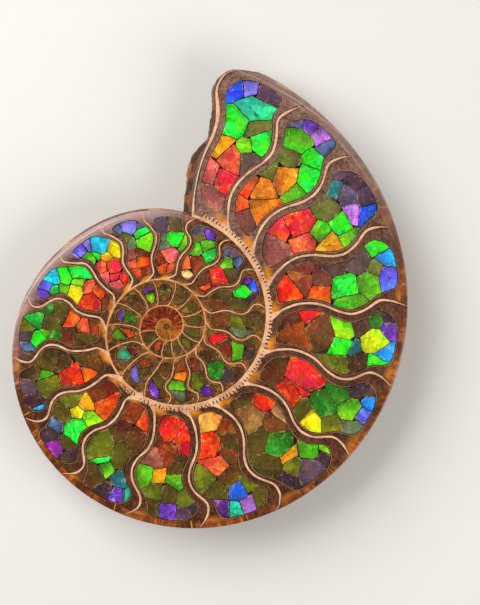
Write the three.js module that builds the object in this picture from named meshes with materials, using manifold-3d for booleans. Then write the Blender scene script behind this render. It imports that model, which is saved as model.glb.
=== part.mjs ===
// A sawn and polished half of an ammonite, lying on its domed back with the polished face up.
// The fossil is one piece of shell and calcite. Each chamber that the saw opened has a shallow pocket,
// and each pocket holds an inlay: a mosaic of thin opal-like chips laid edge to edge on its floor.
// Millimetres. The face lies in the plane z = FACE_Z and the back rests on z = 0.
import * as THREE from "three";
import { mergeVertices } from "three/addons/utils/BufferGeometryUtils.js";
import Module from "manifold-3d";

const wasm = await Module();
wasm.setup();

const DEGREES = Math.PI / 180;
const TURN = 360;
// Vertices closer than this are one vertex of a solid.
const MERGE_DISTANCE = 1e-5;

// The whole half: height of the polished face above the surface it lies on.
const FACE_Z = 19;

// The shell wall is one spiral that winds inwards clockwise from the mouth, seen from above.
// Turn angles count degrees anticlockwise from +X and fall below zero on the way in.
// One radius for each eighth of a turn, from 90 degrees inwards to the first chamber.
const WALL_FIRST_ANGLE = 90;
const WALL_STEP = 45;
const WALL_RADII = [
  92, 85.8, 80, 73.8, 66.8, 58.5, 50, 42.2, 38.8, 36, 33.3, 29.8, 26.1, 22.6, 19.7, 17.2, 15.6, 14,
  12.9, 11.7, 10.5, 9.7, 8.7, 7.8, 6.9, 6.2, 5.5, 5.05, 4.6, 4, 3.4, 2.95, 2.5, 2.15, 1.8,
];

// Along one stretch the flank swells out past the face, so the face's edge lies inside the wall's spiral.
// The edge's share of the wall radius, as [turn angle, share].
const EDGE_TUCK = [
  [-292, 1],
  [-264, 0.965],
  [-222, 0.965],
  [-185, 1],
];

// Half thickness of the shell tube: a share of the wall's radius, until the grown shell stops thickening.
const THICKNESS_SHARE = 0.29;
const THICKNESS_LEAST = 1.2;

// The steep edge under the polished face, before the flank starts to curve, as a share of the
// half thickness.
const EDGE_SHARE = 0.1;
// The tube's section below that edge, as [share of the wall radius, share of the half thickness].
const FLANK = [
  [1.009, 0.24],
  [1.002, 0.36],
  [0.968, 0.52],
  [0.9, 0.7],
  [0.79, 0.87],
  [0.64, 0.97],
  [0.47, 1],
  [0.295, 0.84],
  [0.262, 0.62],
  [0.25, 0.36],
];
const TUBE_INNER_SHARE = 0.2;
const TUBE_FIRST_ANGLE = 90;
const TUBE_SPAN = 180;
const TUBE_COUNT = 7;
const FINE_TUBES = 2;
const FINE_STEP = 7.5;
const COARSE_STEP = 15;
const NUCLEUS_RADIUS = 4;
const NUCLEUS_DEPTH = 2;
const NUCLEUS_SIDES = 16;
const TOP_SPARE = 1.5;

// The broken mouth: its edge on the face, as [share of the way from inner wall to outer wall, turn angle],
// and the millimetres by which the ragged shell below stands out beyond it.
const MOUTH_EDGE = [
  [-0.6, 74, 3],
  [0, 76.5, 3.3],
  [0.1, 78, 3],
  [0.25, 78.3, 3.9],
  [0.38, 77.7, 3.6],
  [0.5, 76.3, 1.5],
  [0.62, 75.9, 2.3],
  [0.72, 77, 2],
  [0.8, 78.2, 1.3],
  [0.88, 77.5, 0.9],
  [0.935, 76.3, 0.7],
  [0.968, 74.6, 0.5],
  [0.99, 71.5, 0.4],
  [1.03, 66, 0.3],
];
// The share of that overhang at each depth.
const MOUTH_FLARE = [
  [-TOP_SPARE, 0],
  [1, 0.1],
  [4.5, 1],
  [9, 0.8],
  [14, 0.1],
  [FACE_Z + TOP_SPARE, -1.2],
];
// How far the cut runs on ahead of the mouth, in degrees, and past the outer wall, as a share.
const MOUTH_CUT_REACH = 24;
const MOUTH_CUT_SPARE = 0.3;

// Septa: the turn angle of each chamber wall half way from inner wall to outer wall, from the mouth
// inwards.
const SEPTUM_ANGLES = [
  76.6, 60.2, 42.5, 23.6, 5, -15.3, -37, -59.5, -81.3, -103.6, -125.5, -147.2, -170.3, -193.3, -215.2,
  -238.2, -260.8, -284.8, -306.7, -327.6, -349.6, -369.4, -389.8, -410.2, -429, -450, -469, -493.6,
  -518.6, -542.5, -567, -591, -614.8, -642.8, -669.2, -696, -721, -747, -773, -797, -820, -850, -888,
];
// How a septum swings either side of that angle, as [share of the way out, degrees towards the mouth].
const OUTER_SWING = [
  [0, -1], [0.1, 3.2], [0.2, 5.4], [0.3, 5.1], [0.4, 3.2], [0.5, 0], [0.6, -1.3], [0.7, 0], [0.8, 3.1],
  [0.9, 2.3], [1, 0],
];
const MIDDLE_SWING = [
  [0, 17], [0.03, 12], [0.06, 8.3], [0.1, 5.8], [0.2, 5.7], [0.3, 5.3], [0.4, 3.6], [0.5, 0],
  [0.6, -1.5], [0.7, -0.3], [0.75, 2.5], [0.8, 3.9], [0.9, 2.8], [1, -1],
];
const INNER_SWING = [
  [0, 10], [0.1, 5.5], [0.2, 2.7], [0.3, 1.2], [0.5, 0], [0.7, -0.6], [0.9, 0.6], [1, 2],
];
// How far a septum stands off that line, in mm towards the mouth, at each tenth of the way out.
// Septa that aren't listed follow the line.
const SEPTUM_TRIM = {
  1: [-1.6, -1.7, -1.4, -1.4, -1.3, -0.7, -0.6, -0.6, -1.7, -3.6, -4.2],
  2: [-1.8, -1.2, -1.1, -0.9, -0.6, 0, 0.4, 0, -0.3, -0.9, -1.5],
  3: [-1.2, -0.9, -0.9, -0.7, -0.7, -0.4, -0.4, -0.6, -1.1, -1.1, -0.6],
  4: [-0.2, -0.1, -0.5, -0.6, -0.4, 0, -0.2, -0.4, -1.1, -1.3, -0.5],
  5: [0, 0, -0.3, -0.4, -0.2, -0.2, -0.4, -1, -0.4, -0.2, 0],
  6: [0, 0.2, 0, 0, 0, 0, 0, -0.2, 0.6, 1.1, 1.9],
  7: [0.3, 0.3, 0.4, 0.4, 0.2, 0.2, 0.2, 0.2, 0.9, 1.6, 0.8],
  8: [1.5, 1.9, 1, 0.7, 0.7, 0.6, 0.5, 0.5, 1.6, 1.5, 0.5],
  9: [1.6, 1.4, 0.8, 1, 1.3, 0.8, 0.8, 0.8, 2, 2.8, 0.5],
  10: [0, 0, 0.6, 0.8, 0.6, 0.4, 0.6, 0.8, 1.1, 1.2, 0.6],
  11: [0, -0.2, 0, 0, 0.1, 0.4, 0.5, 0.6, 0.8, 0.8, 0.6],
  12: [0, 0.5, 0.6, 0.3, 0.3, 0.2, 0.2, 0.4, 1, 1, 1.5],
  13: [0, -0.2, -0.2, -0.2, -0.3, -0.3, -0.2, -0.3, 0.6, 1.4, 1],
  14: [-0.5, -0.7, -0.9, -1.3, -1.3, -0.7, -0.7, -1.5, -2, 0.3, 1.5],
  15: [-0.3, -0.8, -1, -0.9, -0.6, -0.6, -1, -1.9, -3.1, -0.3, 1],
  16: [-0.6, -0.7, -0.7, -0.7, -0.9, -0.6, -0.6, -1.4, -2.5, 0, 2],
  17: [0, -0.4, -0.4, -0.3, -0.3, -0.1, -0.1, 0, 0, 0.3, 0],
  24: [0, 0.6, 0.4, 0.4, 0.3, 0.3, 0, 0, 0, 0, 0],
  25: [0.4, 1, 0.9, 0.6, 0.5, 0.3, 0, 0, 0, 0, 0],
  26: [0.6, 1, 1.1, 1.1, 0.8, 0.4, 0, 0, 0, 0, 0],
  28: [1.6, 0.6, 0.2, 0, 0, 0, 0, 0, 0, 0, 0],
};
const TRIM_STEPS = 10;
const FIRST_MIDDLE_SEPTUM = 10;
const FIRST_INNER_SEPTUM = 26;

// Pockets and the inlays in them.
const POCKET_DEPTH = 2;
const POCKET_GAP = 0.3;
const POCKET_OUTER = { from: 0.12, to: 0.93, foot: 0.08, top: 0.945, corner: 4, points: 16 };
const POCKET_MIDDLE = { from: 0.13, to: 0.9, foot: 0.1, top: 0.92, corner: 3.4, points: 14 };
const POCKET_INNER = { from: 0.14, to: 0.86, foot: 0.14, top: 0.84, corner: 2.3, points: 10 };
const FIRST_MIDDLE_CHAMBER = 17;
const FIRST_INNER_CHAMBER = 26;
const CHIP_DROPS = [0.05, 0.3, 0.15, 0.4];
const CHIP_OVERLAP = 0.02;
const CHIP_REACH = 60;

// Chip centres in each chamber, from the mouth inwards, as [turn angle, share of the way out].
const CHIPS = [
  [[73.5, 0.86], [70.5, 0.89], [66.5, 0.9], [68, 0.78], [71.5, 0.64], [66, 0.66], [62.8, 0.62],
    [66, 0.54], [73.5, 0.48], [69, 0.42], [63.8, 0.47], [74.5, 0.29], [68, 0.27], [72, 0.15]],
  [[58, 0.85], [54.5, 0.9], [51, 0.9], [47.8, 0.86], [55, 0.77], [48.8, 0.75], [46, 0.65],
    [54.5, 0.65], [57, 0.51], [51, 0.53], [46.2, 0.5], [60, 0.34], [54.5, 0.38], [50.5, 0.29],
    [60, 0.2], [53.5, 0.13]],
  [[42.5, 0.85], [37.5, 0.88], [33, 0.9], [29.5, 0.85], [31.2, 0.76], [39, 0.74], [35.8, 0.79],
    [36.5, 0.61], [30, 0.66], [26.6, 0.68], [32.3, 0.52], [26.8, 0.54], [38.5, 0.42], [31.5, 0.38],
    [42, 0.27], [36.5, 0.16]],
  [[21.3, 0.85], [17.7, 0.9], [12.2, 0.88], [15.2, 0.79], [11.5, 0.74], [18, 0.68], [12.5, 0.57],
    [8, 0.6], [20.5, 0.5], [17, 0.41], [12.7, 0.39], [23, 0.29], [19, 0.27], [16.5, 0.16]],
  [[3.5, 0.86], [-1.5, 0.9], [-6.8, 0.88], [-10, 0.84], [2.5, 0.76], [-4.3, 0.78], [0, 0.69],
    [-7, 0.66], [-10.5, 0.7], [-0.5, 0.55], [-6.8, 0.56], [-12.5, 0.57], [5.5, 0.3], [-2.5, 0.38],
    [-3, 0.22], [3.5, 0.15]],
  [[-16.5, 0.86], [-21, 0.91], [-24.3, 0.9], [-28.7, 0.87], [-18, 0.76], [-24.5, 0.79], [-21.8, 0.67],
    [-26.5, 0.6], [-30.5, 0.73], [-33.7, 0.6], [-31.5, 0.49], [-18.5, 0.37], [-24, 0.37],
    [-28.5, 0.34], [-21, 0.14]],
  [[-37, 0.84], [-40, 0.88], [-45, 0.87], [-51.5, 0.87], [-41, 0.74], [-47.5, 0.78], [-45.8, 0.66],
    [-46.5, 0.56], [-54, 0.66], [-37.5, 0.41], [-42.5, 0.42], [-49, 0.45], [-37.5, 0.22],
    [-47.5, 0.27], [-42, 0.1]],
  [[-60, 0.86], [-65.7, 0.88], [-69.3, 0.88], [-73, 0.85], [-67.3, 0.76], [-72, 0.72], [-62, 0.7],
    [-67, 0.62], [-76.5, 0.6], [-69.5, 0.51], [-64, 0.45], [-61.5, 0.35], [-70.5, 0.35], [-59, 0.24],
    [-66.5, 0.15]],
  [[-81, 0.85], [-85, 0.9], [-89.7, 0.88], [-94.5, 0.86], [-84, 0.75], [-89.5, 0.74], [-94.5, 0.73],
    [-86.5, 0.61], [-93.5, 0.6], [-98, 0.62], [-85, 0.5], [-95.5, 0.46], [-88.5, 0.39], [-82, 0.28],
    [-88.5, 0.2], [-95, 0.28]],
  [[-102.5, 0.85], [-106.2, 0.86], [-107, 0.74], [-110.5, 0.87], [-115.5, 0.83], [-109, 0.56],
    [-114.5, 0.62], [-118.7, 0.57], [-112.5, 0.7], [-105.5, 0.36], [-114, 0.34], [-103.5, 0.19],
    [-110.5, 0.18]],
  [[-126, 0.85], [-132.5, 0.87], [-137.3, 0.86], [-139.3, 0.76], [-130.5, 0.77], [-131, 0.63],
    [-130, 0.46], [-140.5, 0.65], [-136.8, 0.53], [-137, 0.41], [-142, 0.5], [-127.5, 0.27],
    [-134.7, 0.23]],
  [[-147, 0.87], [-150.7, 0.85], [-156.5, 0.87], [-160.8, 0.8], [-153.5, 0.67], [-158, 0.68],
    [-163.5, 0.61], [-159.5, 0.48], [-153, 0.41], [-148.7, 0.26], [-153.5, 0.17], [-159, 0.25]],
  [[-168.7, 0.86], [-172.5, 0.87], [-176, 0.87], [-180, 0.87], [-183.5, 0.78], [-187, 0.73],
    [-174.5, 0.73], [-178, 0.66], [-174.8, 0.55], [-182, 0.62], [-186.8, 0.54], [-183, 0.41],
    [-175.5, 0.41], [-172, 0.24], [-178, 0.25], [-179.5, 0.14]],
  [[-194, 0.84], [-199, 0.86], [-203.5, 0.86], [-198.5, 0.74], [-200.5, 0.65], [-206, 0.73],
    [-206.7, 0.57], [-211.5, 0.66], [-200.5, 0.5], [-206, 0.42], [-197.5, 0.27], [-204.5, 0.27],
    [-199.5, 0.13]],
  [[-217, 0.86], [-221.5, 0.87], [-225.5, 0.85], [-230.8, 0.79], [-220.8, 0.71], [-226, 0.68],
    [-235.7, 0.64], [-229.5, 0.57], [-223.5, 0.49], [-229, 0.41], [-219.5, 0.35], [-223.5, 0.27],
    [-220.5, 0.16], [-227.5, 0.18]],
  [[-241.5, 0.87], [-250, 0.85], [-255.5, 0.83], [-245.5, 0.7], [-248, 0.59], [-254.7, 0.72],
    [-254.7, 0.57], [-244.5, 0.46], [-251.5, 0.44], [-243.5, 0.31], [-249, 0.3], [-242, 0.17],
    [-248.5, 0.14]],
  [[-262.5, 0.86], [-267, 0.79], [-274, 0.79], [-267, 0.65], [-276, 0.63], [-281.3, 0.56],
    [-267.5, 0.51], [-272.5, 0.38], [-263.5, 0.29], [-267, 0.18], [-273.5, 0.17]],
  [[-287, 0.84], [-295.5, 0.84], [-291, 0.75], [-296, 0.69], [-290.5, 0.57], [-301.5, 0.6],
    [-287.5, 0.31], [-295, 0.36], [-290, 0.14]],
  [[-308, 0.84], [-313, 0.86], [-318, 0.83], [-313.5, 0.67], [-320.5, 0.63], [-317.8, 0.43],
    [-309.5, 0.27], [-315, 0.2]],
  [[-329.3, 0.8], [-335.5, 0.86], [-336, 0.68], [-341.5, 0.8], [-343, 0.56], [-331, 0.33],
    [-337, 0.25]],
  [[-354, 0.85], [-355, 0.68], [-358, 0.53], [-365.5, 0.56], [-354, 0.27]],
  [[-371.5, 0.83], [-379, 0.87], [-379, 0.66], [-380, 0.4], [-372, 0.21]],
  [[-391, 0.81], [-398, 0.8], [-400, 0.55], [-393, 0.28]],
  [[-411.5, 0.8], [-418.5, 0.81], [-421.5, 0.6], [-415, 0.57], [-413, 0.27]],
  [[-431.5, 0.78], [-438.5, 0.78], [-438, 0.6], [-433.5, 0.38], [-430.5, 0.2]],
  [[-450, 0.79], [-463, 0.73], [-457, 0.55], [-452, 0.3]],
  [[-484.5, 0.67], [-475, 0.5], [-482, 0.3]],
  [[-499, 0.75], [-505, 0.56], [-502, 0.32]],
  [[-528, 0.62], [-532, 0.34]],
  [[-553, 0.7], [-553.5, 0.44]],
  [[-577, 0.64], [-578, 0.36]],
  [[-602, 0.72], [-603, 0.42]],
  [[-628, 0.72], [-629, 0.5], [-630, 0.27]],
  [[-655, 0.65], [-655, 0.33]],
  [[-682, 0.64], [-681, 0.3]],
  [[-708.5, 0.5]],
  [[-734, 0.5]],
  [[-760, 0.5]],
  [[-785, 0.5]],
  [[-808.5, 0.5]],
  [[-835, 0.5]],
  [[-869, 0.5]],
];

const FOSSIL_COLOUR = new THREE.Color(0.36, 0.2, 0.1);
const INLAY_HUES = { outer: 0.3, middle: 0.08, inner: 0.12 };
const INLAY_SATURATION = 0.8;
const INLAY_LIGHTNESS = 0.4;

// Cubic through evenly spaced values, for a position counted in steps from the first value.
function smoothAt(values, position) {
  const last = values.length - 1;
  const start = Math.min(Math.max(Math.floor(position), 0), last - 1);
  const t = position - start;
  const at = (k) => values[Math.min(Math.max(start + k, 0), last)];
  const [before, from, to, after] = [at(-1), at(0), at(1), at(2)];
  return (
    from +
    0.5 *
      t *
      (to - before + t * (2 * before - 5 * from + 4 * to - after + t * (3 * (from - to) + after - before)))
  );
}

// Straight lines between [position, value] pairs.
function linearAt(pairs, position) {
  if (position <= pairs[0][0]) return pairs[0][1];
  for (let i = 1; i < pairs.length; i++) {
    const [x0, y0] = pairs[i - 1];
    const [x1, y1] = pairs[i];
    if (position <= x1) return y0 + ((y1 - y0) * (position - x0)) / (x1 - x0);
  }
  return pairs[pairs.length - 1][1];
}

const LOG_RADII = WALL_RADII.map(Math.log);
const wallRadius = (angle) => Math.exp(smoothAt(LOG_RADII, (WALL_FIRST_ANGLE - angle) / WALL_STEP));

const halfThickness = (angle) =>
  Math.min(FACE_Z, THICKNESS_SHARE * wallRadius(angle) + THICKNESS_LEAST);

const edgeRadius = (angle) => wallRadius(angle) * linearAt(EDGE_TUCK, angle);

// A point of the face: a turn angle, and a share of the way from the inner wall to the outer wall.
function facePoint(angle, share) {
  const inner = wallRadius(angle - TURN);
  const radius = inner + share * (edgeRadius(angle) - inner);
  return new THREE.Vector2(radius * Math.cos(angle * DEGREES), radius * Math.sin(angle * DEGREES));
}

function septumAngle(number, share) {
  if (number === 0) return linearAt(MOUTH_EDGE, share);
  let swing = OUTER_SWING;
  if (number >= FIRST_MIDDLE_SEPTUM) swing = MIDDLE_SWING;
  if (number >= FIRST_INNER_SEPTUM) swing = INNER_SWING;
  const angle = SEPTUM_ANGLES[number] + linearAt(swing, share);
  const trim = (SEPTUM_TRIM[number] ?? [0]).map((value, i) => [i / TRIM_STEPS, value]);
  return angle + linearAt(trim, share) / facePoint(angle, share).length() / DEGREES;
}

// Between two septa: how far across the chamber, and how far out.
const chamberPoint = (number, across, share) =>
  facePoint((1 - across) * septumAngle(number, share) + across * septumAngle(number + 1, share), share);

// A solid for joining and cutting, from a closed three.js geometry.
function toSolid(geometry) {
  const bare = geometry.clone();
  bare.deleteAttribute("normal");
  bare.deleteAttribute("uv");
  const merged = mergeVertices(bare, MERGE_DISTANCE);
  return new wasm.Manifold(
    new wasm.Mesh({
      numProp: 3,
      vertProperties: new Float32Array(merged.attributes.position.array),
      triVerts: new Uint32Array(merged.index.array),
    }),
  );
}

function toGeometry(solid) {
  const made = solid.getMesh();
  const geometry = new THREE.BufferGeometry();
  geometry.setAttribute("position", new THREE.BufferAttribute(new Float32Array(made.vertProperties), 3));
  geometry.setIndex(new THREE.BufferAttribute(new Uint32Array(made.triVerts), 1));
  const flat = geometry.toNonIndexed();
  flat.computeVertexNormals();
  return flat;
}

function prism(points, bottom, top) {
  const height = { depth: top - bottom, bevelEnabled: false };
  const geometry = new THREE.ExtrudeGeometry(new THREE.Shape(points), height);
  geometry.translate(0, 0, bottom);
  return toSolid(geometry);
}

// A closed skin over rings of the same length, each ring a list of points, with both ends capped.
function loftSolid(rings, capTriangles) {
  const count = rings[0].length;
  const positions = rings.flat().flatMap((p) => [p.x, p.y, p.z]);
  const indices = [];
  for (let ring = 0; ring + 1 < rings.length; ring++) {
    for (let i = 0; i < count; i++) {
      const a = ring * count + i;
      const b = ring * count + ((i + 1) % count);
      indices.push(a, b, b + count, a, b + count, a + count);
    }
  }
  const far = (rings.length - 1) * count;
  for (const [a, b, c] of capTriangles) {
    indices.push(a, c, b, far + a, far + b, far + c);
  }
  const geometry = new THREE.BufferGeometry();
  geometry.setAttribute("position", new THREE.Float32BufferAttribute(positions, 3));
  geometry.setIndex(indices);
  const solid = toSolid(geometry);
  if (solid.volume() > 0) return solid;
  for (let i = 0; i < indices.length; i += 3) {
    [indices[i + 1], indices[i + 2]] = [indices[i + 2], indices[i + 1]];
  }
  geometry.setIndex(indices);
  return toSolid(geometry);
}

// The shell tube's section at a turn angle, as radius and depth below the face.
function tubeSection(angle) {
  const radius = wallRadius(angle);
  const thickness = halfThickness(angle);
  return [
    new THREE.Vector2(edgeRadius(angle), -TOP_SPARE),
    new THREE.Vector2((edgeRadius(angle) + radius) / 2, EDGE_SHARE * thickness),
    ...FLANK.map(([share, depth]) => new THREE.Vector2(radius * share, thickness * depth)),
    new THREE.Vector2(radius * TUBE_INNER_SHARE, -TOP_SPARE),
  ];
}

// A length of the shell tube, whose section turns about the first chamber as the wall's spiral shrinks.
function tube(number) {
  const firstAngle = TUBE_FIRST_ANGLE - TUBE_SPAN * number;
  const step = number < FINE_TUBES ? FINE_STEP : COARSE_STEP;
  const rings = [];
  for (let angle = firstAngle; angle >= firstAngle - TUBE_SPAN - step; angle -= step) {
    rings.push(
      tubeSection(angle).map(
        (p) =>
          new THREE.Vector3(p.x * Math.cos(angle * DEGREES), p.x * Math.sin(angle * DEGREES), FACE_Z - p.y),
      ),
    );
  }
  return loftSolid(rings, THREE.ShapeUtils.triangulateShape(tubeSection(firstAngle), []));
}

// What is missing in front of the broken mouth.
function mouthCut() {
  const rings = MOUTH_FLARE.map(([depth, forward]) => {
    const edge = MOUTH_EDGE.map(([share, angle, overhang]) => {
      const turn = (forward * overhang) / facePoint(angle, Math.max(share, 0)).length() / DEGREES;
      return facePoint(angle + turn, share);
    });
    const [firstShare, firstAngle] = MOUTH_EDGE[0];
    const [lastShare, lastAngle] = MOUTH_EDGE[MOUTH_EDGE.length - 1];
    const far = [
      facePoint(lastAngle + MOUTH_CUT_REACH, lastShare + MOUTH_CUT_SPARE),
      facePoint(firstAngle + MOUTH_CUT_REACH, firstShare),
    ];
    return [...edge, ...far].map((p) => new THREE.Vector3(p.x, p.y, FACE_Z - depth));
  });
  const plan = rings[0].map((p) => new THREE.Vector2(p.x, p.y));
  return loftSolid(rings, THREE.ShapeUtils.triangulateShape(plan, []));
}

function pocketShape(number) {
  if (number >= FIRST_INNER_CHAMBER) return POCKET_INNER;
  return number >= FIRST_MIDDLE_CHAMBER ? POCKET_MIDDLE : POCKET_OUTER;
}

// A pocket's outline on the face: an oblong with soft corners that bends with the chamber.
function pocketOutline(number) {
  const { from, to, foot, top, corner, points } = pocketShape(number);
  const outline = [];
  for (let i = 0; i < points; i++) {
    const turn = (2 * Math.PI * (i + 0.5)) / points;
    const side = (value) => Math.sign(value) * Math.abs(value) ** (2 / corner);
    const across = (from + to) / 2 + ((to - from) / 2) * side(Math.cos(turn));
    const share = (foot + top) / 2 + ((top - foot) / 2) * side(Math.sin(turn));
    outline.push(chamberPoint(number, across, share));
  }
  return THREE.ShapeUtils.isClockWise(outline) ? outline.reverse() : outline;
}

// The same outline drawn in by a gap, corner by corner.
function drawnIn(outline, gap) {
  return outline.map((point, i) => {
    const before = outline[(i + outline.length - 1) % outline.length];
    const after = outline[(i + 1) % outline.length];
    const along = after.clone().sub(before).normalize();
    return point.clone().add(new THREE.Vector2(-along.y, along.x).multiplyScalar(gap));
  });
}

// What of a convex outline lies nearer to the centre than to its neighbour.
function nearerHalf(outline, centre, neighbour) {
  const towards = neighbour.clone().sub(centre);
  const limit = towards.length() / 2 + CHIP_OVERLAP;
  towards.normalize();
  const beyond = outline.map((p) => p.clone().sub(centre).dot(towards) - limit);
  const kept = [];
  outline.forEach((point, i) => {
    const j = (i + 1) % outline.length;
    if (beyond[i] <= 0) kept.push(point);
    if (beyond[i] < 0 !== beyond[j] < 0) {
      kept.push(point.clone().lerp(outline[j], beyond[i] / (beyond[i] - beyond[j])));
    }
  });
  return kept;
}

// One inlay: each chip covers what lies nearest to its centre, and its top is a little lower or higher
// than the next.
function inlay(number) {
  const floor = FACE_Z - POCKET_DEPTH;
  const centres = CHIPS[number].map(([angle, share]) => facePoint(angle, share));
  let chips = null;
  centres.forEach((centre, i) => {
    let cell = [
      new THREE.Vector2(-CHIP_REACH, -CHIP_REACH),
      new THREE.Vector2(CHIP_REACH, -CHIP_REACH),
      new THREE.Vector2(CHIP_REACH, CHIP_REACH),
      new THREE.Vector2(-CHIP_REACH, CHIP_REACH),
    ].map((corner) => corner.add(centre));
    centres.forEach((neighbour, j) => {
      if (j !== i) cell = nearerHalf(cell, centre, neighbour);
    });
    const chip = prism(cell, floor, FACE_Z - CHIP_DROPS[i % CHIP_DROPS.length]);
    chips = chips ? chips.add(chip) : chip;
  });
  return chips.intersect(prism(drawnIn(pocketOutline(number), POCKET_GAP), floor, FACE_Z));
}

// The fossil: shell tubes joined turn by turn, sawn flat at the face, with a pocket in each chamber.
function fossil() {
  let body = tube(0).subtract(mouthCut());
  for (let i = 1; i < TUBE_COUNT; i++) body = body.add(tube(i));
  const height = NUCLEUS_DEPTH + TOP_SPARE;
  const nucleus = new THREE.CylinderGeometry(NUCLEUS_RADIUS, NUCLEUS_RADIUS, height, NUCLEUS_SIDES);
  nucleus.rotateX(Math.PI / 2);
  nucleus.translate(0, 0, FACE_Z + (TOP_SPARE - NUCLEUS_DEPTH) / 2);
  body = body.add(toSolid(nucleus));
  const reach = 2 * WALL_RADII[0];
  const sawn = new THREE.BoxGeometry(2 * reach, 2 * reach, 2 * TOP_SPARE);
  sawn.translate(0, 0, FACE_Z + TOP_SPARE);
  body = body.subtract(toSolid(sawn));
  CHIPS.forEach((_, number) => {
    body = body.subtract(prism(pocketOutline(number), FACE_Z - POCKET_DEPTH, FACE_Z + TOP_SPARE));
  });
  return body;
}

const half = new THREE.Group();

const fossilMesh = new THREE.Mesh(
  toGeometry(fossil()),
  new THREE.MeshStandardMaterial({ color: FOSSIL_COLOUR, roughness: 0.25, metalness: 0 }),
);
fossilMesh.name = "fossil_half";
half.add(fossilMesh);

CHIPS.forEach((_, number) => {
  const shape = pocketShape(number);
  let hue = INLAY_HUES.outer;
  if (shape === POCKET_MIDDLE) hue = INLAY_HUES.middle;
  if (shape === POCKET_INNER) hue = INLAY_HUES.inner;
  const mesh = new THREE.Mesh(
    toGeometry(inlay(number)),
    new THREE.MeshStandardMaterial({
      color: new THREE.Color().setHSL(hue, INLAY_SATURATION, INLAY_LIGHTNESS),
      roughness: 0.2,
      metalness: 0.3,
    }),
  );
  mesh.name = `chamber_inlay_${String(number + 1).padStart(2, "0")}`;
  half.add(mesh);
});

// The part's own origin is under the middle of its bounding box.
const box = new THREE.Box3().setFromObject(half);
const middle = box.getCenter(new THREE.Vector3());
half.position.set(-middle.x, -middle.y, 0);

export default half;
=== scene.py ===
"""A sawn and polished ammonite half, its chambers set with chips of iridescent shell."""

import colorsys
import math
import random

import bmesh
import bpy
from bpy.props import FloatProperty, FloatVectorProperty, PointerProperty
from mathutils import Matrix, Vector
from mathutils.noise import noise_vector, seed_set


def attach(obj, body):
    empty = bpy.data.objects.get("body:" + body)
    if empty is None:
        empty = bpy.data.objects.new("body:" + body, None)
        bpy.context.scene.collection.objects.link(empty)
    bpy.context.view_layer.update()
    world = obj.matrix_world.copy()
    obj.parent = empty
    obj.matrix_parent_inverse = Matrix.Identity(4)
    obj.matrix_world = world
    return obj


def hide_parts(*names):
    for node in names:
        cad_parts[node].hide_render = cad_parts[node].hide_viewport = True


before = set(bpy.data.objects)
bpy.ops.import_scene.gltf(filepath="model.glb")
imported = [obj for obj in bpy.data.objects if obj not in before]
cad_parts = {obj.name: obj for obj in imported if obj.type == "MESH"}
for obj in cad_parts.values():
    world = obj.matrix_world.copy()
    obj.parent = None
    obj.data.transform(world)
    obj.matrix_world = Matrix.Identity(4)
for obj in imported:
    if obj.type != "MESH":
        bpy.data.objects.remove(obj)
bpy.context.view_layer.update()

bl_info = {
    "name": "Polished ammonite half",
    "version": (1, 0, 0),
    "blender": (4, 5, 0),
    "location": "3D View > Sidebar > Ammonite",
    "description": "Builds a sawn and polished ammonite half with chips of iridescent shell in its chambers",
    "category": "Add Mesh",
}

# Shapes are worked out in millimetres about the centre of the coil, and made in metres.
MM = 0.001
FULL_TURN = 360
FACE_Z = 19.0
COIL_CENTRE = (-14.788, -8.760)
FOSSIL_NODE = "fossil_half"
INLAY_NODE = "chamber_inlay_{:02d}"

# The shell wall is one spiral that winds inwards clockwise from the mouth, seen from above.
# Turn angles count degrees anticlockwise from +X and fall below zero on the way in.
WALL_FIRST_ANGLE = 90
WALL_STEP = 45
WALL_RADII = (
    92, 85.8, 80, 73.8, 66.8, 58.5, 50, 42.2, 38.8, 36, 33.3, 29.8, 26.1, 22.6, 19.7, 17.2, 15.6, 14,
    12.9, 11.7, 10.5, 9.7, 8.7, 7.8, 6.9, 6.2, 5.5, 5.05, 4.6, 4, 3.4, 2.95, 2.5, 2.15, 1.8,
)
EDGE_TUCK = ((-292, 1), (-264, 0.965), (-222, 0.965), (-185, 1))

# The flank below the face, as (share of the wall radius, share of the half thickness).
EDGE_SHARE = 0.1
FLANK = (
    (1.009, 0.24), (1.002, 0.36), (0.968, 0.52), (0.9, 0.7), (0.79, 0.87), (0.64, 0.97), (0.47, 1),
    (0.36, 0.95), (0.295, 0.84), (0.262, 0.62), (0.25, 0.36),
)

# The broken mouth, as (share of the way from inner wall to outer wall, turn angle, overhang in mm).
MOUTH_EDGE = (
    (-0.6, 74, 3), (0, 76.5, 3.3), (0.1, 78, 3), (0.25, 78.3, 3.9), (0.38, 77.7, 3.6), (0.5, 76.3, 1.5),
    (0.62, 75.9, 2.3), (0.72, 77, 2), (0.8, 78.2, 1.3), (0.88, 77.5, 0.9), (0.935, 76.3, 0.7),
    (0.968, 74.6, 0.5), (0.99, 71.5, 0.4), (1.03, 66, 0.3),
)
MOUTH_FLARE = ((-1.5, 0), (1, 0.1), (4.5, 1), (9, 0.8), (14, 0.1), (20.5, -1.2))

# Septa: the turn angle of each chamber wall half way out, from the mouth inwards.
SEPTUM_ANGLES = (
    76.6, 60.2, 42.5, 23.6, 5, -15.3, -37, -59.5, -81.3, -103.6, -125.5, -147.2, -170.3, -193.3, -215.2,
    -238.2, -260.8, -284.8, -306.7, -327.6, -349.6, -369.4, -389.8, -410.2, -429, -450, -469, -493.6,
    -518.6, -542.5, -567, -591, -614.8, -642.8, -669.2, -696, -721, -747, -773, -797, -820, -850, -888,
)
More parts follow.
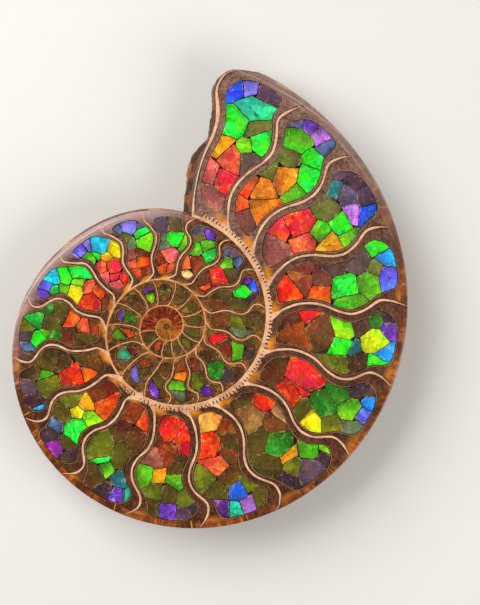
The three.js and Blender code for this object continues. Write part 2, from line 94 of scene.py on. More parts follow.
# How a septum swings either side of that angle, as (share of the way out, degrees towards the mouth).
OUTER_SWING = (
    (0, -1), (0.1, 3.2), (0.2, 5.4), (0.3, 5.1), (0.4, 3.2), (0.5, 0), (0.6, -1.3), (0.7, 0), (0.8, 3.1),
    (0.9, 2.3), (1, 0),
)
MIDDLE_SWING = (
    (0, 17), (0.03, 12), (0.06, 8.3), (0.1, 5.8), (0.2, 5.7), (0.3, 5.3), (0.4, 3.6), (0.5, 0), (0.6, -1.5),
    (0.7, -0.3), (0.75, 2.5), (0.8, 3.9), (0.9, 2.8), (1, -1),
)
INNER_SWING = ((0, 10), (0.1, 5.5), (0.2, 2.7), (0.3, 1.2), (0.5, 0), (0.7, -0.6), (0.9, 0.6), (1, 2))
# How far a septum stands off that line, in mm towards the mouth, at each tenth of the way out.
# Septa that aren't listed follow the line.
SEPTUM_TRIM = {
    1: (-1.6, -1.7, -1.4, -1.4, -1.3, -0.7, -0.6, -0.6, -1.7, -3.6, -4.2),
    2: (-1.8, -1.2, -1.1, -0.9, -0.6, 0, 0.4, 0, -0.3, -0.9, -1.5),
    3: (-1.2, -0.9, -0.9, -0.7, -0.7, -0.4, -0.4, -0.6, -1.1, -1.1, -0.6),
    4: (-0.2, -0.1, -0.5, -0.6, -0.4, 0, -0.2, -0.4, -1.1, -1.3, -0.5),
    5: (0, 0, -0.3, -0.4, -0.2, -0.2, -0.4, -1, -0.4, -0.2, 0),
    6: (0, 0.2, 0, 0, 0, 0, 0, -0.2, 0.6, 1.1, 1.9),
    7: (0.3, 0.3, 0.4, 0.4, 0.2, 0.2, 0.2, 0.2, 0.9, 1.6, 0.8),
    8: (1.5, 1.9, 1, 0.7, 0.7, 0.6, 0.5, 0.5, 1.6, 1.5, 0.5),
    9: (1.6, 1.4, 0.8, 1, 1.3, 0.8, 0.8, 0.8, 2, 2.8, 0.5),
    10: (0, 0, 0.6, 0.8, 0.6, 0.4, 0.6, 0.8, 1.1, 1.2, 0.6),
    11: (0, -0.2, 0, 0, 0.1, 0.4, 0.5, 0.6, 0.8, 0.8, 0.6),
    12: (0, 0.5, 0.6, 0.3, 0.3, 0.2, 0.2, 0.4, 1, 1, 1.5),
    13: (0, -0.2, -0.2, -0.2, -0.3, -0.3, -0.2, -0.3, 0.6, 1.4, 1),
    14: (-0.5, -0.7, -0.9, -1.3, -1.3, -0.7, -0.7, -1.5, -2, 0.3, 1.5),
    15: (-0.3, -0.8, -1, -0.9, -0.6, -0.6, -1, -1.9, -3.1, -0.3, 1),
    16: (-0.6, -0.7, -0.7, -0.7, -0.9, -0.6, -0.6, -1.4, -2.5, 0, 2),
    17: (0, -0.4, -0.4, -0.3, -0.3, -0.1, -0.1, 0, 0, 0.3, 0),
    24: (0, 0.6, 0.4, 0.4, 0.3, 0.3, 0, 0, 0, 0, 0),
    25: (0.4, 1, 0.9, 0.6, 0.5, 0.3, 0, 0, 0, 0, 0),
    26: (0.6, 1, 1.1, 1.1, 0.8, 0.4, 0, 0, 0, 0, 0),
    28: (1.6, 0.6, 0.2, 0, 0, 0, 0, 0, 0, 0, 0),
}
TRIM_STEPS = 10
FIRST_MIDDLE_SEPTUM = 10
FIRST_INNER_SEPTUM = 26
SWING_ROUNDING = 0.045

# Pockets: the part of each chamber that the chips fill, with a corner exponent.
POCKET_DEPTH = 2.0
POCKET_OUTER = {"from": 0.12, "to": 0.93, "foot": 0.08, "top": 0.945, "corner": 4.0}
POCKET_MIDDLE = {"from": 0.13, "to": 0.9, "foot": 0.1, "top": 0.92, "corner": 3.4}
POCKET_INNER = {"from": 0.14, "to": 0.86, "foot": 0.14, "top": 0.84, "corner": 2.3}
FIRST_MIDDLE_CHAMBER = 17
FIRST_INNER_CHAMBER = 26

# The chips of each chamber from the mouth inwards: turn angle, share of the way out, colour, and half
# breadth in mm where it isn't the plain one.
PLAIN_HALF_BREADTH = 2.0
CHIPS = (
    "73.5 .86 blue 2.6, 70.5 .89 lavender 2.8, 66.5 .9 dusk 3, 68 .78 aqua 4.2, 71.5 .64 green 4.3,"
    "66 .66 moss 2.2, 62.8 .62 green 3.3, 66 .54 lime 1.8, 73.5 .48 gold 3.4, 69 .42 coral 3.6,"
    "63.8 .47 smoke 2.8, 74.5 .29 rose 3, 68 .27 crimson 3.2, 72 .15 clay 3.8",
    "58 .85 slate 2.6, 54.5 .9 violet 2.6, 51 .9 orchid 2.4, 47.8 .86 steel 2.4, 55 .77 leaf 4.4,"
    "48.8 .75 green 2.8, 46 .65 green 3.6, 54.5 .65 moss 2.8, 57 .51 moss 3, 51 .53 amber 3.8,"
    "46.2 .5 leaf 2, 60 .34 orange 2.6, 54.5 .38 amber 3.2, 50.5 .29 amber 3.6, 60 .2 flame 1.8,"
    "53.5 .13 russet 3",
    "42.5 .85 dusk 3, 37.5 .88 plum 3, 33 .9 dusk 3, 29.5 .85 azure 2.8, 31.2 .76 orchid 2.4,"
    "39 .74 teal 2.6, 35.8 .79 slate 3, 36.5 .61 moss 4.4, 30 .66 green 3.4, 26.6 .68 leaf 2.4,"
    "32.3 .52 leaf 2.8, 26.8 .54 gold 3, 38.5 .42 scarlet 5, 31.5 .38 coral 3, 42 .27 crimson 3,"
    "36.5 .16 clay 4.4",
    "21.3 .85 green 3.6, 17.7 .9 sky 2.6, 12.2 .88 periwinkle 3.6, 15.2 .79 moss 1.6,"
    "11.5 .74 leaf 3.6, 18 .68 smoke 3.4, 12.5 .57 green 4.2, 8 .6 leaf 2.6, 20.5 .5 umber 3.6,"
    "17 .41 russet 2.6, 12.7 .39 orange 2.6, 23 .29 brick 2.4, 19 .27 rust 3.4, 16.5 .16 flame 4.4",
    "3.5 .86 plum 2.6, -1.5 .9 violet 2.6, -6.8 .88 sky 3, -10 .84 green 2.6, 2.5 .76 forest 2.8,"
    "-4.3 .78 lemon 4.4, 0 .69 umber 3, -7 .66 teal 2, -10.5 .7 umber 3, -.5 .55 lime 3,"
    "-6.8 .56 green 3, -12.5 .57 moss 3.4, 5.5 .3 scarlet 3.6, -2.5 .38 russet 4.6, -3 .22 rust 4,"
    "3.5 .15 maroon 3",
    "-16.5 .86 plum 2.6, -21 .91 sky 1.8, -24.3 .9 periwinkle 2.2, -28.7 .87 sage 2.4,"
    "-18 .76 plum 2.2, -24.5 .79 leaf 3.6, -21.8 .67 forest 3, -26.5 .6 forest 3.6,"
    "-30.5 .73 moss 2.8, -33.7 .6 yellow 2.4, -31.5 .49 olive 2, -18.5 .37 crimson 5.8,"
    "-24 .37 scarlet 3, -28.5 .34 red 4, -21 .14 maroon 3.6",
    "-37 .84 lime 2, -40 .88 plum 2.4, -45 .87 mauve 4, -51.5 .87 plum 2.2, -41 .74 leaf 2.8,"
    "-47.5 .78 moss 2.2, -45.8 .66 gold 2.4, -46.5 .56 forest 4.4, -54 .66 olive 3.4,"
    "-37.5 .41 sand 2, -42.5 .42 russet 3.4, -49 .45 umber 2, -37.5 .22 red 2.6, -47.5 .27 tan 3.8,"
    "-42 .1 umber 2.8",
    "-60 .86 olive 4, -65.7 .88 orchid 2.2, -69.3 .88 aqua 1.8, -73 .85 purple 2.4,"
    "-67.3 .76 azure 2.8, -72 .72 olive 2.6, -62 .7 moss 2.4, -67 .62 bronze 3, -76.5 .6 moss 3.2,"
    "-69.5 .51 coral 3.2, -64 .45 russet 2.6, -61.5 .35 umber 2.8, -70.5 .35 flame 4,"
    "-59 .24 rust 2.4, -66.5 .15 apricot 3.4",
    "-81 .85 plum 2, -85 .9 dusk 2.6, -89.7 .88 violet 3, -94.5 .86 olive 2, -84 .75 moss 2.6,"
    "-89.5 .74 olive 2.6, -94.5 .73 moss 2.4, -86.5 .61 leaf 2.6, -93.5 .6 gold 1.8,"
    "-98 .62 leaf 2.6, -85 .5 umber 2.8, -95.5 .46 clay 2.6, -88.5 .39 rust 3.4, -82 .28 red 3.4,"
    "-88.5 .2 red 4, -95 .28 maroon 2.4",
    "-102.5 .85 aqua 1.8, -106.2 .86 violet 2.8, -107 .74 teal 2.6, -110.5 .87 plum 2.2,"
    "-115.5 .83 umber 3, -109 .56 olive 4, -114.5 .62 green 1.8, -118.7 .57 moss 4.4,"
    "-112.5 .7 leaf 2, -105.5 .36 maroon 3.8, -114 .34 maroon 3, -103.5 .19 flame 2.4,"
    "-110.5 .18 rust 3",
    "-126 .85 plum 3, -132.5 .87 magenta 2.4, -137.3 .86 plum 1.8, -139.3 .76 steel 1.8,"
    "-130.5 .77 olive 2, -131 .63 green 4, -130 .46 lime 2, -140.5 .65 olive 3,"
    "-136.8 .53 yellow 2.2, -137 .41 gold 2.4, -142 .5 moss 2.6, -127.5 .27 flame 3.8,"
    "-134.7 .23 brick 3.4",
    "-147 .87 sky 2.4, -150.7 .85 plum 3, -156.5 .87 mauve 3.2, -160.8 .8 umber 2.6,"
    "-153.5 .67 moss 3.6, -158 .68 leaf 2.2, -163.5 .61 olive 3.4, -159.5 .48 umber 2.6,"
    "-153 .41 red 4, -148.7 .26 orange 2.6, -153.5 .17 russet 3, -159 .25 umber 2.6",
    "-168.7 .86 slate 1.6, -172.5 .87 steel 1.8, -176 .87 dusk 2, -180 .87 moss 1.8,"
    "-183.5 .78 emerald 3.2, -187 .73 forest 2, -174.5 .73 green 2.2, -178 .66 leaf 1.8,"
    "-174.8 .55 forest 2.4, -182 .62 olive 3.4, -186.8 .54 olive 2.8, -183 .41 flame 2.6,"
    "-175.5 .41 russet 3, -172 .24 umber 3, -178 .25 coral 2.6, -179.5 .14 rust 2",
    "-194 .84 violet 2.4, -199 .86 periwinkle 2.2, -203.5 .86 cyan 2.6, -198.5 .74 emerald 2,"
    "-200.5 .65 leaf 2.2, -206 .73 green 2.8, -206.7 .57 lime 2, -211.5 .66 green 2.8,"
    "-200.5 .5 yellow 3, -206 .42 coral 2, -197.5 .27 red 4, -204.5 .27 flame 2.4,"
    "-199.5 .13 brick 2.2",
    "-217 .86 lavender 1.6, -221.5 .87 periwinkle 2.4, -225.5 .85 lavender 1.8, -230.8 .79 cyan 3.4,"
    "-220.8 .71 leaf 2.6, -226 .68 green 1.4, -235.7 .64 yellow 2.6, -229.5 .57 gold 2.2,"
    "-223.5 .49 coral 2.2, -229 .41 crimson 2.8, -219.5 .35 rose 1.8, -223.5 .27 crimson 2,"
    "-220.5 .16 rose 2.4, -227.5 .18 red 2",
    "-241.5 .87 steel 2.2, -250 .85 lavender 2.6, -255.5 .83 slate 1.4, -245.5 .7 moss 2,"
    "-248 .59 sage 2, -254.7 .72 green 2, -254.7 .57 lime 3, -244.5 .46 clay 2,"
    "-251.5 .44 russet 2.2, -243.5 .31 coral 2, -249 .3 orange 2.6, -242 .17 scarlet 2,"
    "-248.5 .14 rust 2",
    "-262.5 .86 slate 1.8, -267 .79 dusk 2.8, -274 .79 olive 2.6, -267 .65 sage 1.8,"
    "-276 .63 green 3, -281.3 .56 leaf 2, -267.5 .51 sage 2, -272.5 .38 rose 3, -263.5 .29 rust 2.6,"
    "-267 .18 orange 2, -273.5 .17 coral 2",
    "-287 .84 slate 2.4, -295.5 .84 violet 1.8, -291 .75 moss 1.8, -296 .69 leaf 2,"
    "-290.5 .57 leaf 2, -301.5 .6 emerald 1.8, -287.5 .31 coral 2.4, -295 .36 rust 2.4,"
    "-290 .14 cream 2",
    "-308 .84 slate 2, -313 .86 mauve 1.4, -318 .83 steel 1.8, -313.5 .67 leaf 2.2,"
    "-320.5 .63 olive 2, -317.8 .43 red 3, -309.5 .27 russet 2.4, -315 .2 flame 1.6",
    "-329.3 .8 purple 1.6, -335.5 .86 blue 1.6, -336 .68 green 2.4, -341.5 .8 plum 1.6,"
    "-343 .56 olive 2.4, -331 .33 umber 2.6, -337 .25 russet 2.4",
    "-354 .85 umber, -355 .68 olive, -358 .53 moss, -365.5 .56 sage, -354 .27 russet",
    "-371.5 .83 umber, -379 .87 plum, -379 .66 leaf, -380 .4 brick, -372 .21 red",
    "-391 .81 umber, -398 .8 plum, -400 .55 forest, -393 .28 umber",
    "-411.5 .8 umber, -418.5 .81 purple, -421.5 .6 moss, -415 .57 olive, -413 .27 russet",
    "-431.5 .78 umber, -438.5 .78 sage, -438 .6 leaf, -433.5 .38 amber, -430.5 .2 rust",
    "-450 .79 maroon, -463 .73 violet, -457 .55 olive, -452 .3 bronze",
    "-484.5 .67 lavender, -475 .5 umber, -482 .3 rust",
    "-499 .75 slate, -505 .56 aqua, -502 .32 brick",
    "-528 .62 leaf, -532 .34 orange",
    "-553 .7 violet, -553.5 .44 forest",
    "-577 .64 umber, -578 .36 russet",
    "-602 .72 violet, -603 .42 lime",
    "-628 .72 plum, -629 .5 moss, -630 .27 rust",
    "-655 .65 umber, -655 .33 bronze",
    "-682 .64 umber, -681 .3 tan",
    "-708.5 .5 olive",
    "-734 .5 olive",
    "-760 .5 moss",
    "-785 .5 umber",
    "-808.5 .5 olive",
    "-835 .5 crimson",
    "-869 .5 olive",
)

# Dull chips are stained calcite that runs on from one chip to the next. One is as dull as they come.
DULL = {
    "umber": 1.0, "olive": 0.9, "smoke": 0.9, "bronze": 0.8, "russet": 0.7, "maroon": 0.6, "plum": 0.6,
    "dusk": 0.6, "moss": 0.55, "mauve": 0.5, "clay": 0.5, "sage": 0.5, "tan": 0.5, "sand": 0.5, "brick": 0.4,
    "slate": 0.4, "rust": 0.3, "forest": 0.1,
}
# How wide the joint between two dull chips is, as a share of the other joints.
DULLED_JOINT = 0.3

# The chips' colours, as a painter would mix them.
CHIP_COLOURS = {
    "blue": (0.13, 0.32, 0.95),
    "azure": (0.05, 0.42, 0.9),
    "sky": (0.05, 0.62, 0.98),
    "cyan": (0.02, 0.82, 0.95),
    "aqua": (0.05, 0.8, 0.62),
    "teal": (0.1, 0.42, 0.45),
    "steel": (0.28, 0.38, 0.55),
    "slate": (0.3, 0.3, 0.45),
    "periwinkle": (0.36, 0.38, 0.95),
    "lavender": (0.52, 0.46, 0.9),
    "violet": (0.4, 0.2, 0.7),
    "purple": (0.36, 0.1, 0.55),
    "magenta": (0.55, 0.12, 0.6),
    "orchid": (0.68, 0.42, 0.82),
    "mauve": (0.4, 0.28, 0.4),
    "dusk": (0.3, 0.22, 0.34),
    "plum": (0.22, 0.12, 0.24),
    "emerald": (0.04, 0.72, 0.26),
    "green": (0.06, 0.95, 0.04),
    "leaf": (0.33, 0.7, 0.04),
    "lime": (0.55, 0.95, 0.03),
    "moss": (0.43, 0.48, 0.06),
    "forest": (0.13, 0.48, 0.07),
    "sage": (0.4, 0.5, 0.36),
    "olive": (0.33, 0.3, 0.06),
    "lemon": (0.82, 0.9, 0.03),
    "yellow": (0.98, 0.9, 0.03),
    "gold": (0.95, 0.64, 0.02),
    "amber": (0.93, 0.5, 0.03),
    "orange": (0.95, 0.38, 0.02),
    "flame": (0.98, 0.26, 0.04),
    "coral": (0.95, 0.34, 0.2),
    "scarlet": (0.98, 0.14, 0.08),
    "red": (0.92, 0.1, 0.05),
    "crimson": (0.94, 0.12, 0.15),
    "rose": (0.92, 0.34, 0.34),
    "clay": (0.66, 0.33, 0.3),
    "brick": (0.5, 0.13, 0.06),
    "rust": (0.6, 0.2, 0.05),
    "russet": (0.48, 0.19, 0.08),
    "maroon": (0.38, 0.13, 0.08),
    "umber": (0.3, 0.18, 0.07),
    "bronze": (0.42, 0.25, 0.05),
    "smoke": (0.3, 0.26, 0.22),
    "tan": (0.68, 0.42, 0.24),
    "sand": (0.75, 0.5, 0.34),
    "cream": (1.0, 0.84, 0.5),
    "apricot": (1.0, 0.7, 0.28),
}


def linear(colour):
    """A colour as it looks on screen, as linear light."""
    return tuple(c / 12.92 if c <= 0.04045 else ((c + 0.055) / 1.055) ** 2.4 for c in colour)


def colour_property(name, description, default):
    return FloatVectorProperty(
        name=name, description=description, subtype="COLOR", size=3, min=0, max=1, default=linear(default)
    )


class FossilSizes(bpy.types.PropertyGroup):
    """Sizes of the face and of what is set in it."""

    septum_width: FloatProperty(
        name="Septum width",
        description="Width of a septum in the outer whorl, mm",
        default=0.78,
        min=0.2,
        max=3,
    )
    wall_width: FloatProperty(
        name="Wall width",
        description="Width of the shell wall between whorls, mm",
        default=1.05,
        min=0.2,
        max=3,
    )
    relief: FloatProperty(
        name="Relief",
        description="How far a line 1.1 mm wide stands out of the face, mm, and others in proportion",
        default=0.03,
        min=0.01,
    )
    chip_gap: FloatProperty(
        name="Chip gap", description="Joint between neighbouring chips, mm", default=0.13, min=0
    )
    chip_tilt: FloatProperty(
        name="Chip tilt", description="How strongly the chips lean, in degrees", default=1.6, min=0, max=5
    )


class FossilColours(bpy.types.PropertyGroup):
    """Colours of the fossil and the strength of the chips' colours."""

    lining: colour_property("Lining", "Dark calcite round the chips", (0.33, 0.19, 0.11))
    # The pale lining also greys the upper-left arc of the face, where it is partly greyer calcite and partly
    # a painted sheen.
    lining_pale: colour_property("Pale lining", "Greyer calcite near the mouth", (0.47, 0.35, 0.3))
    matrix: colour_property("Matrix", "Golden-brown calcite of the inner whorls", (0.42, 0.26, 0.1))
    honey: colour_property("Honey", "Clear orange calcite at the feet of the chambers", (0.97, 0.58, 0.13))
    rim: colour_property("Rim", "Rust-brown outer shell", (0.47, 0.2, 0.06))
    rust: colour_property("Rust", "Rust-red calcite round the nucleus", (0.5, 0.17, 0.05))
    golden: colour_property("Gold", "Golden calcite of the first whorl", (0.64, 0.41, 0.11))
    inner_wall: colour_property("Inner wall", "Tan shell of the innermost walls", (0.8, 0.56, 0.34))
    septum: colour_property("Septum", "Cream septa and walls", (0.88, 0.69, 0.54))
    shell: colour_property("Shell", "Brown shell of the back", (0.38, 0.19, 0.08))
    chip_strength: FloatProperty(
        name="Chip strength", description="How vivid the chips are", default=1.0, min=0, max=2
    )


class StageSettings(bpy.types.PropertyGroup):
    """Floor, lights and camera."""

    floor_colour: colour_property("Floor", "Plain pale floor", (0.86, 0.85, 0.83))
    key_power: FloatProperty(name="Key light", description="Power of the main softbox, W", default=8.4, min=0)
    fill_power: FloatProperty(name="Fill light", description="Power of the fill light, W", default=3.6, min=0)
    lens: FloatProperty(name="Lens", description="Focal length of the camera, mm", default=100, min=20)


def linear_at(pairs, position):
    """Straight lines between (position, value) pairs."""
    if position <= pairs[0][0]:
        return pairs[0][1]
    for (x0, y0), (x1, y1) in zip(pairs, pairs[1:]):
        if position <= x1:
            return y0 + (y1 - y0) * (position - x0) / (x1 - x0)
    return pairs[-1][1]


def rounded_at(pairs, position, rounding):
    """The same lines with their corners rounded off."""
    steps = (-1, -0.5, 0, 0.5, 1)
    weights = (1, 2, 3, 2, 1)
    low, high = pairs[0][0], pairs[-1][0]
    reach = min(rounding, position - low, high - position) if low < position < high else 0
    total = sum(w * linear_at(pairs, position + reach * k) for k, w in zip(steps, weights))
    return total / sum(weights)


def smooth_step(low, high, value):
    t = min(max((value - low) / (high - low), 0), 1)
    return t * t * (3 - 2 * t)


LOG_RADII = [math.log(r) for r in WALL_RADII]
# Smooth curves bulge past the faceted solid they stand for, so the whole half is drawn in by this share.
DRAWN_IN = 0.9985
# The ground face lies lower by about as much as septa, wall and beads stand out of it.
RAISED = 0.09
FACE_TOP = FACE_Z - RAISED


def curve_through(a, b, c, d, t):
    """A smooth curve from b to c, a share t of the way, that comes from a and goes on to d."""
    return b + 0.5 * t * (c - a + t * (2 * a - 5 * b + 4 * c - d + t * (3 * (b - c) + d - a)))


def wall_radius(angle):
    """The shell wall's radius at a turn angle, by a smooth curve through the radii above."""
    position = (WALL_FIRST_ANGLE - angle) / WALL_STEP
    last = len(LOG_RADII) - 1
    start = min(max(math.floor(position), 0), last - 1)
    t = position - start
    near = [LOG_RADII[min(max(start + k, 0), last)] for k in (-1, 0, 1, 2)]
    return DRAWN_IN * math.exp(curve_through(*near, t))


def edge_radius(angle):
    return wall_radius(angle) * linear_at(EDGE_TUCK, angle)


def on_circle(radius, angle):
    return Vector((radius * math.cos(math.radians(angle)), radius * math.sin(math.radians(angle))))


def face_point(angle, share):
    """A point of the face: a turn angle, and a share of the way from the inner wall to the outer wall."""
    inner = wall_radius(angle - FULL_TURN)
    return on_circle(inner + share * (edge_radius(angle) - inner), angle)


MOUTH_LINE = tuple((share, angle) for share, angle, _ in MOUTH_EDGE)
TRIM_LINES = {
    number: tuple((k / TRIM_STEPS, v) for k, v in enumerate(row)) for number, row in SEPTUM_TRIM.items()
}
UNTRIMMED = ((0, 0),)


def septum_angle(number, share):
    if number == 0:
        return rounded_at(MOUTH_LINE, share, SWING_ROUNDING)
    swing = OUTER_SWING
    if number >= FIRST_MIDDLE_SEPTUM:
        swing = MIDDLE_SWING
    if number >= FIRST_INNER_SEPTUM:
        swing = INNER_SWING
    angle = SEPTUM_ANGLES[number] + rounded_at(swing, share, SWING_ROUNDING)
    trim = rounded_at(TRIM_LINES.get(number, UNTRIMMED), share, SWING_ROUNDING)
    return angle + math.degrees(trim / face_point(angle, share).length)


def chamber_angle(number, across, share):
    return (1 - across) * septum_angle(number, share) + across * septum_angle(number + 1, share)


def chamber_point(number, across, share):
    return face_point(chamber_angle(number, across, share), share)


# The half's thickness at a turn: so much for each mm of radius, and so much besides.
THICKNESS_SHARE, THICKNESS_BESIDES = 0.29, 1.2


def half_thickness(angle):
    return DRAWN_IN * min(FACE_TOP, THICKNESS_SHARE * wall_radius(angle) + THICKNESS_BESIDES)


def pocket_shape(number):
    if number >= FIRST_INNER_CHAMBER:
        return POCKET_INNER
    return POCKET_MIDDLE if number >= FIRST_MIDDLE_CHAMBER else POCKET_OUTER


def placed(point, height):
    """A point about the coil, in millimetres, as a point of the frame in metres."""
    return ((point[0] + COIL_CENTRE[0]) * MM, (point[1] + COIL_CENTRE[1]) * MM, height * MM)


def socket_id(tree, name):
    return next(i.identifier for i in tree.interface.items_tree if i.name == name and i.in_out == "INPUT")


def in_scene(name, data):
    """A new object in the scene."""
    made = bpy.data.objects.new(name, data)
    bpy.context.scene.collection.objects.link(made)
    return made


def as_evaluated(made):
    """A plain mesh of an object as its modifiers leave it."""
    return bpy.data.meshes.new_from_object(made.evaluated_get(bpy.context.evaluated_depsgraph_get()))


def new_piece(name, points, faces, material, smooth=True):
    """A mesh object in the scene that rides on the part's only body."""
    mesh = bpy.data.meshes.new(name)
    mesh.from_pydata(points, [], faces)
    mesh.validate()
    mesh.polygons.foreach_set("use_smooth", [smooth] * len(mesh.polygons))
    mesh.materials.append(material)
    piece = in_scene(name, mesh)
    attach(piece, "root")
    return piece


def add_values(mesh, name, values):
    attribute = mesh.attributes.new(name, "FLOAT", "POINT")
    attribute.data.foreach_set("value", values)


def add_vectors(mesh, name, vectors):
    attribute = mesh.attributes.new(name, "FLOAT_VECTOR", "POINT")
    attribute.data.foreach_set("vector", [c for vector in vectors for c in vector])


def add_colours(mesh, name, colours):
    attribute = mesh.color_attributes.new(name, "FLOAT_COLOR", "POINT")
    attribute.data.foreach_set("color", [c for colour in colours for c in (*colour, 1)])


def feed(tree, node_input, value):
    """Gives a node's input a value, or links it to another node's socket."""
    if isinstance(value, bpy.types.NodeSocket):
        tree.links.new(value, node_input)
    else:
        node_input.default_value = value


def node(tree, kind, inputs=None, **settings):
    """A shader or geometry node, with its settings and inputs, each a value or another node's socket."""
    made = tree.nodes.new(kind)
    for key, value in settings.items():
        setattr(made, key, value)
    for key, value in (inputs or {}).items():
        feed(tree, made.inputs[key], value)
    return made


# Where a mix node keeps its two colours, and where their mix comes out.
MIX_COLOURS = (6, 7)
MIX_RESULT = 2


def mixed(tree, factor, first, second, blend="MIX"):
    """The mix of two colours."""
    made = node(tree, "ShaderNodeMix", {0: factor}, data_type="RGBA", blend_type=blend)
    for index, colour in zip(MIX_COLOURS, (first, second)):
        plain = not isinstance(colour, bpy.types.NodeSocket)
        feed(tree, made.inputs[index], (*colour, 1) if plain else colour)
    return made.outputs[MIX_RESULT]


def maths(tree, operation, *values):
    return node(tree, "ShaderNodeMath", dict(enumerate(values)), operation=operation).outputs[0]


def product(tree, value, *others):
    for other in others:
        value = maths(tree, "MULTIPLY", value, other)
    return value


def object_place(tree):
    return node(tree, "ShaderNodeTexCoord").outputs["Object"]


def stretched(tree, place, scale):
    return node(tree, "ShaderNodeMapping", {"Vector": place, "Scale": scale}).outputs[0]


def roughen(tree, shader, height, strength, distance):
    """Lets a pattern's height disturb a shader's surface, over a distance in metres."""
    inputs = {"Height": height, "Strength": strength, "Distance": distance}
    tree.links.new(node(tree, "ShaderNodeBump", inputs).outputs[0], shader.inputs["Normal"])


def between(tree, value, low, high, to_low=0.0, to_high=1.0):
    """A value's smooth rise from one limit to another."""
    inputs = {"Value": value, "From Min": low, "From Max": high, "To Min": to_low, "To Max": to_high}
    return node(tree, "ShaderNodeMapRange", inputs, interpolation_type="SMOOTHSTEP").outputs[0]


def attribute(tree, name):
    return node(tree, "ShaderNodeAttribute", attribute_name=name)


def noise(tree, vector, scale, detail=3.0, rough=0.55, distortion=0.0):
    inputs = {"Vector": vector, "Scale": scale, "Detail": detail, "Roughness": rough}
    return node(tree, "ShaderNodeTexNoise", {**inputs, "Distortion": distortion}).outputs["Fac"]


def new_material(name, finish):
    """A material whose Principled shader has the given plain values."""
    material = bpy.data.materials.new(name)
    material.use_nodes = True
    tree = material.node_tree
    shader = next(n for n in tree.nodes if n.type == "BSDF_PRINCIPLED")
    for key, value in finish.items():
        shader.inputs[key].default_value = value
    return material, tree, shader


def new_group(name, tree_kind, inputs, outputs):
    """A node group with named sockets: input names with (kind, default), and output names with kinds."""
    tree = bpy.data.node_groups.new(name, tree_kind)
    for key, (kind, default) in inputs.items():
        socket = tree.interface.new_socket(key, in_out="INPUT", socket_type=kind)
        if default is not None:
            socket.default_value = default
    for key, kind in outputs.items():
        tree.interface.new_socket(key, in_out="OUTPUT", socket_type=kind)
    return tree, tree.nodes.new("NodeGroupInput").outputs, tree.nodes.new("NodeGroupOutput").inputs


def placed_group(tree, group, inputs):
    made = tree.nodes.new("ShaderNodeGroup")
    made.node_tree = bpy.data.node_groups[group]
    for key, value in inputs.items():
        feed(tree, made.inputs[key], value)
    return made.outputs


def shard_group():
    """Shards, each with two random values, and a mask of some of the hairline cracks between them."""
    tree, given, result = new_group(
        "Shards",
        "ShaderNodeTree",
        {
            "Vector": ("NodeSocketVector", None),
            "Scale": ("NodeSocketFloat", 200.0),
            "Width": ("NodeSocketFloat", 0.02),
            "Share": ("NodeSocketFloat", 0.6),
        },
        {"Crack": "NodeSocketFloat", "Tone": "NodeSocketFloat", "Kind": "NodeSocketFloat"},
    )
    bend_scale = product(tree, given["Scale"], 1.3)
    bend = node(tree, "ShaderNodeTexNoise", {"Vector": given["Vector"], "Scale": bend_scale, "Detail": 2.0})
    reach = maths(tree, "DIVIDE", 0.5, given["Scale"])
    shift = node(tree, "ShaderNodeVectorMath", {0: bend.outputs["Color"], 3: reach}, operation="SCALE")
    bent = node(tree, "ShaderNodeVectorMath", {0: given["Vector"], 1: shift.outputs[0]}, operation="ADD")
    shape = {"Vector": bent.outputs[0], "Scale": given["Scale"]}
    edges = node(tree, "ShaderNodeTexVoronoi", shape, feature="DISTANCE_TO_EDGE")
    line = between(tree, edges.outputs["Distance"], 0.0, given["Width"], 1.0, 0.0)
    patch = noise(tree, given["Vector"], product(tree, given["Scale"], 0.4), 2.0)
    kept = maths(tree, "LESS_THAN", patch, given["Share"])
    tree.links.new(product(tree, line, kept), result["Crack"])
    cells = node(tree, "ShaderNodeTexVoronoi", shape)
    random_values = node(tree, "ShaderNodeSeparateColor", {"Color": cells.outputs["Color"]}).outputs
    tree.links.new(random_values[0], result["Tone"])
    tree.links.new(random_values[1], result["Kind"])


def mottle_group():
    """Cloudy patches: a colour that drifts towards a second one, with fine grain."""
    tree, given, result = new_group(
        "Mottle",
        "ShaderNodeTree",
        {
            "Vector": ("NodeSocketVector", None),
            "Color": ("NodeSocketColor", None),
            "Patch": ("NodeSocketColor", None),
            "Scale": ("NodeSocketFloat", 80.0),
            "Amount": ("NodeSocketFloat", 0.5),
            "Grain": ("NodeSocketFloat", 0.15),
        },
        {"Color": "NodeSocketColor", "Height": "NodeSocketFloat"},
    )
    cloud = noise(tree, given["Vector"], given["Scale"], 5.0, 0.6, 0.6)
    share = product(tree, between(tree, cloud, 0.42, 0.62), given["Amount"])
    patched = mixed(tree, share, given["Color"], given["Patch"])
    grain = noise(tree, given["Vector"], 1500.0, 3.0, 0.7)
    darker = maths(tree, "SUBTRACT", 1.0, given["Grain"])
    lighter = maths(tree, "MULTIPLY_ADD", given["Grain"], 2.0, 1.0)
    shade = between(tree, grain, 0.34, 0.7, darker, lighter)
    grained = node(tree, "ShaderNodeHueSaturation", {"Value": shade, "Color": patched}).outputs[0]
    tree.links.new(grained, result["Color"])
    tree.links.new(cloud, result["Height"])


# The dark and the lit calcite where rust turns to gold.
EMBERS = linear((0.4, 0.17, 0.04)), linear((0.74, 0.42, 0.12))
# Calcite beside a septum, and the darkest lines, round the chips and in their cracks.
DARK_CALCITE = linear((0.17, 0.08, 0.04))
DARK_LINE = linear((0.1, 0.05, 0.03))


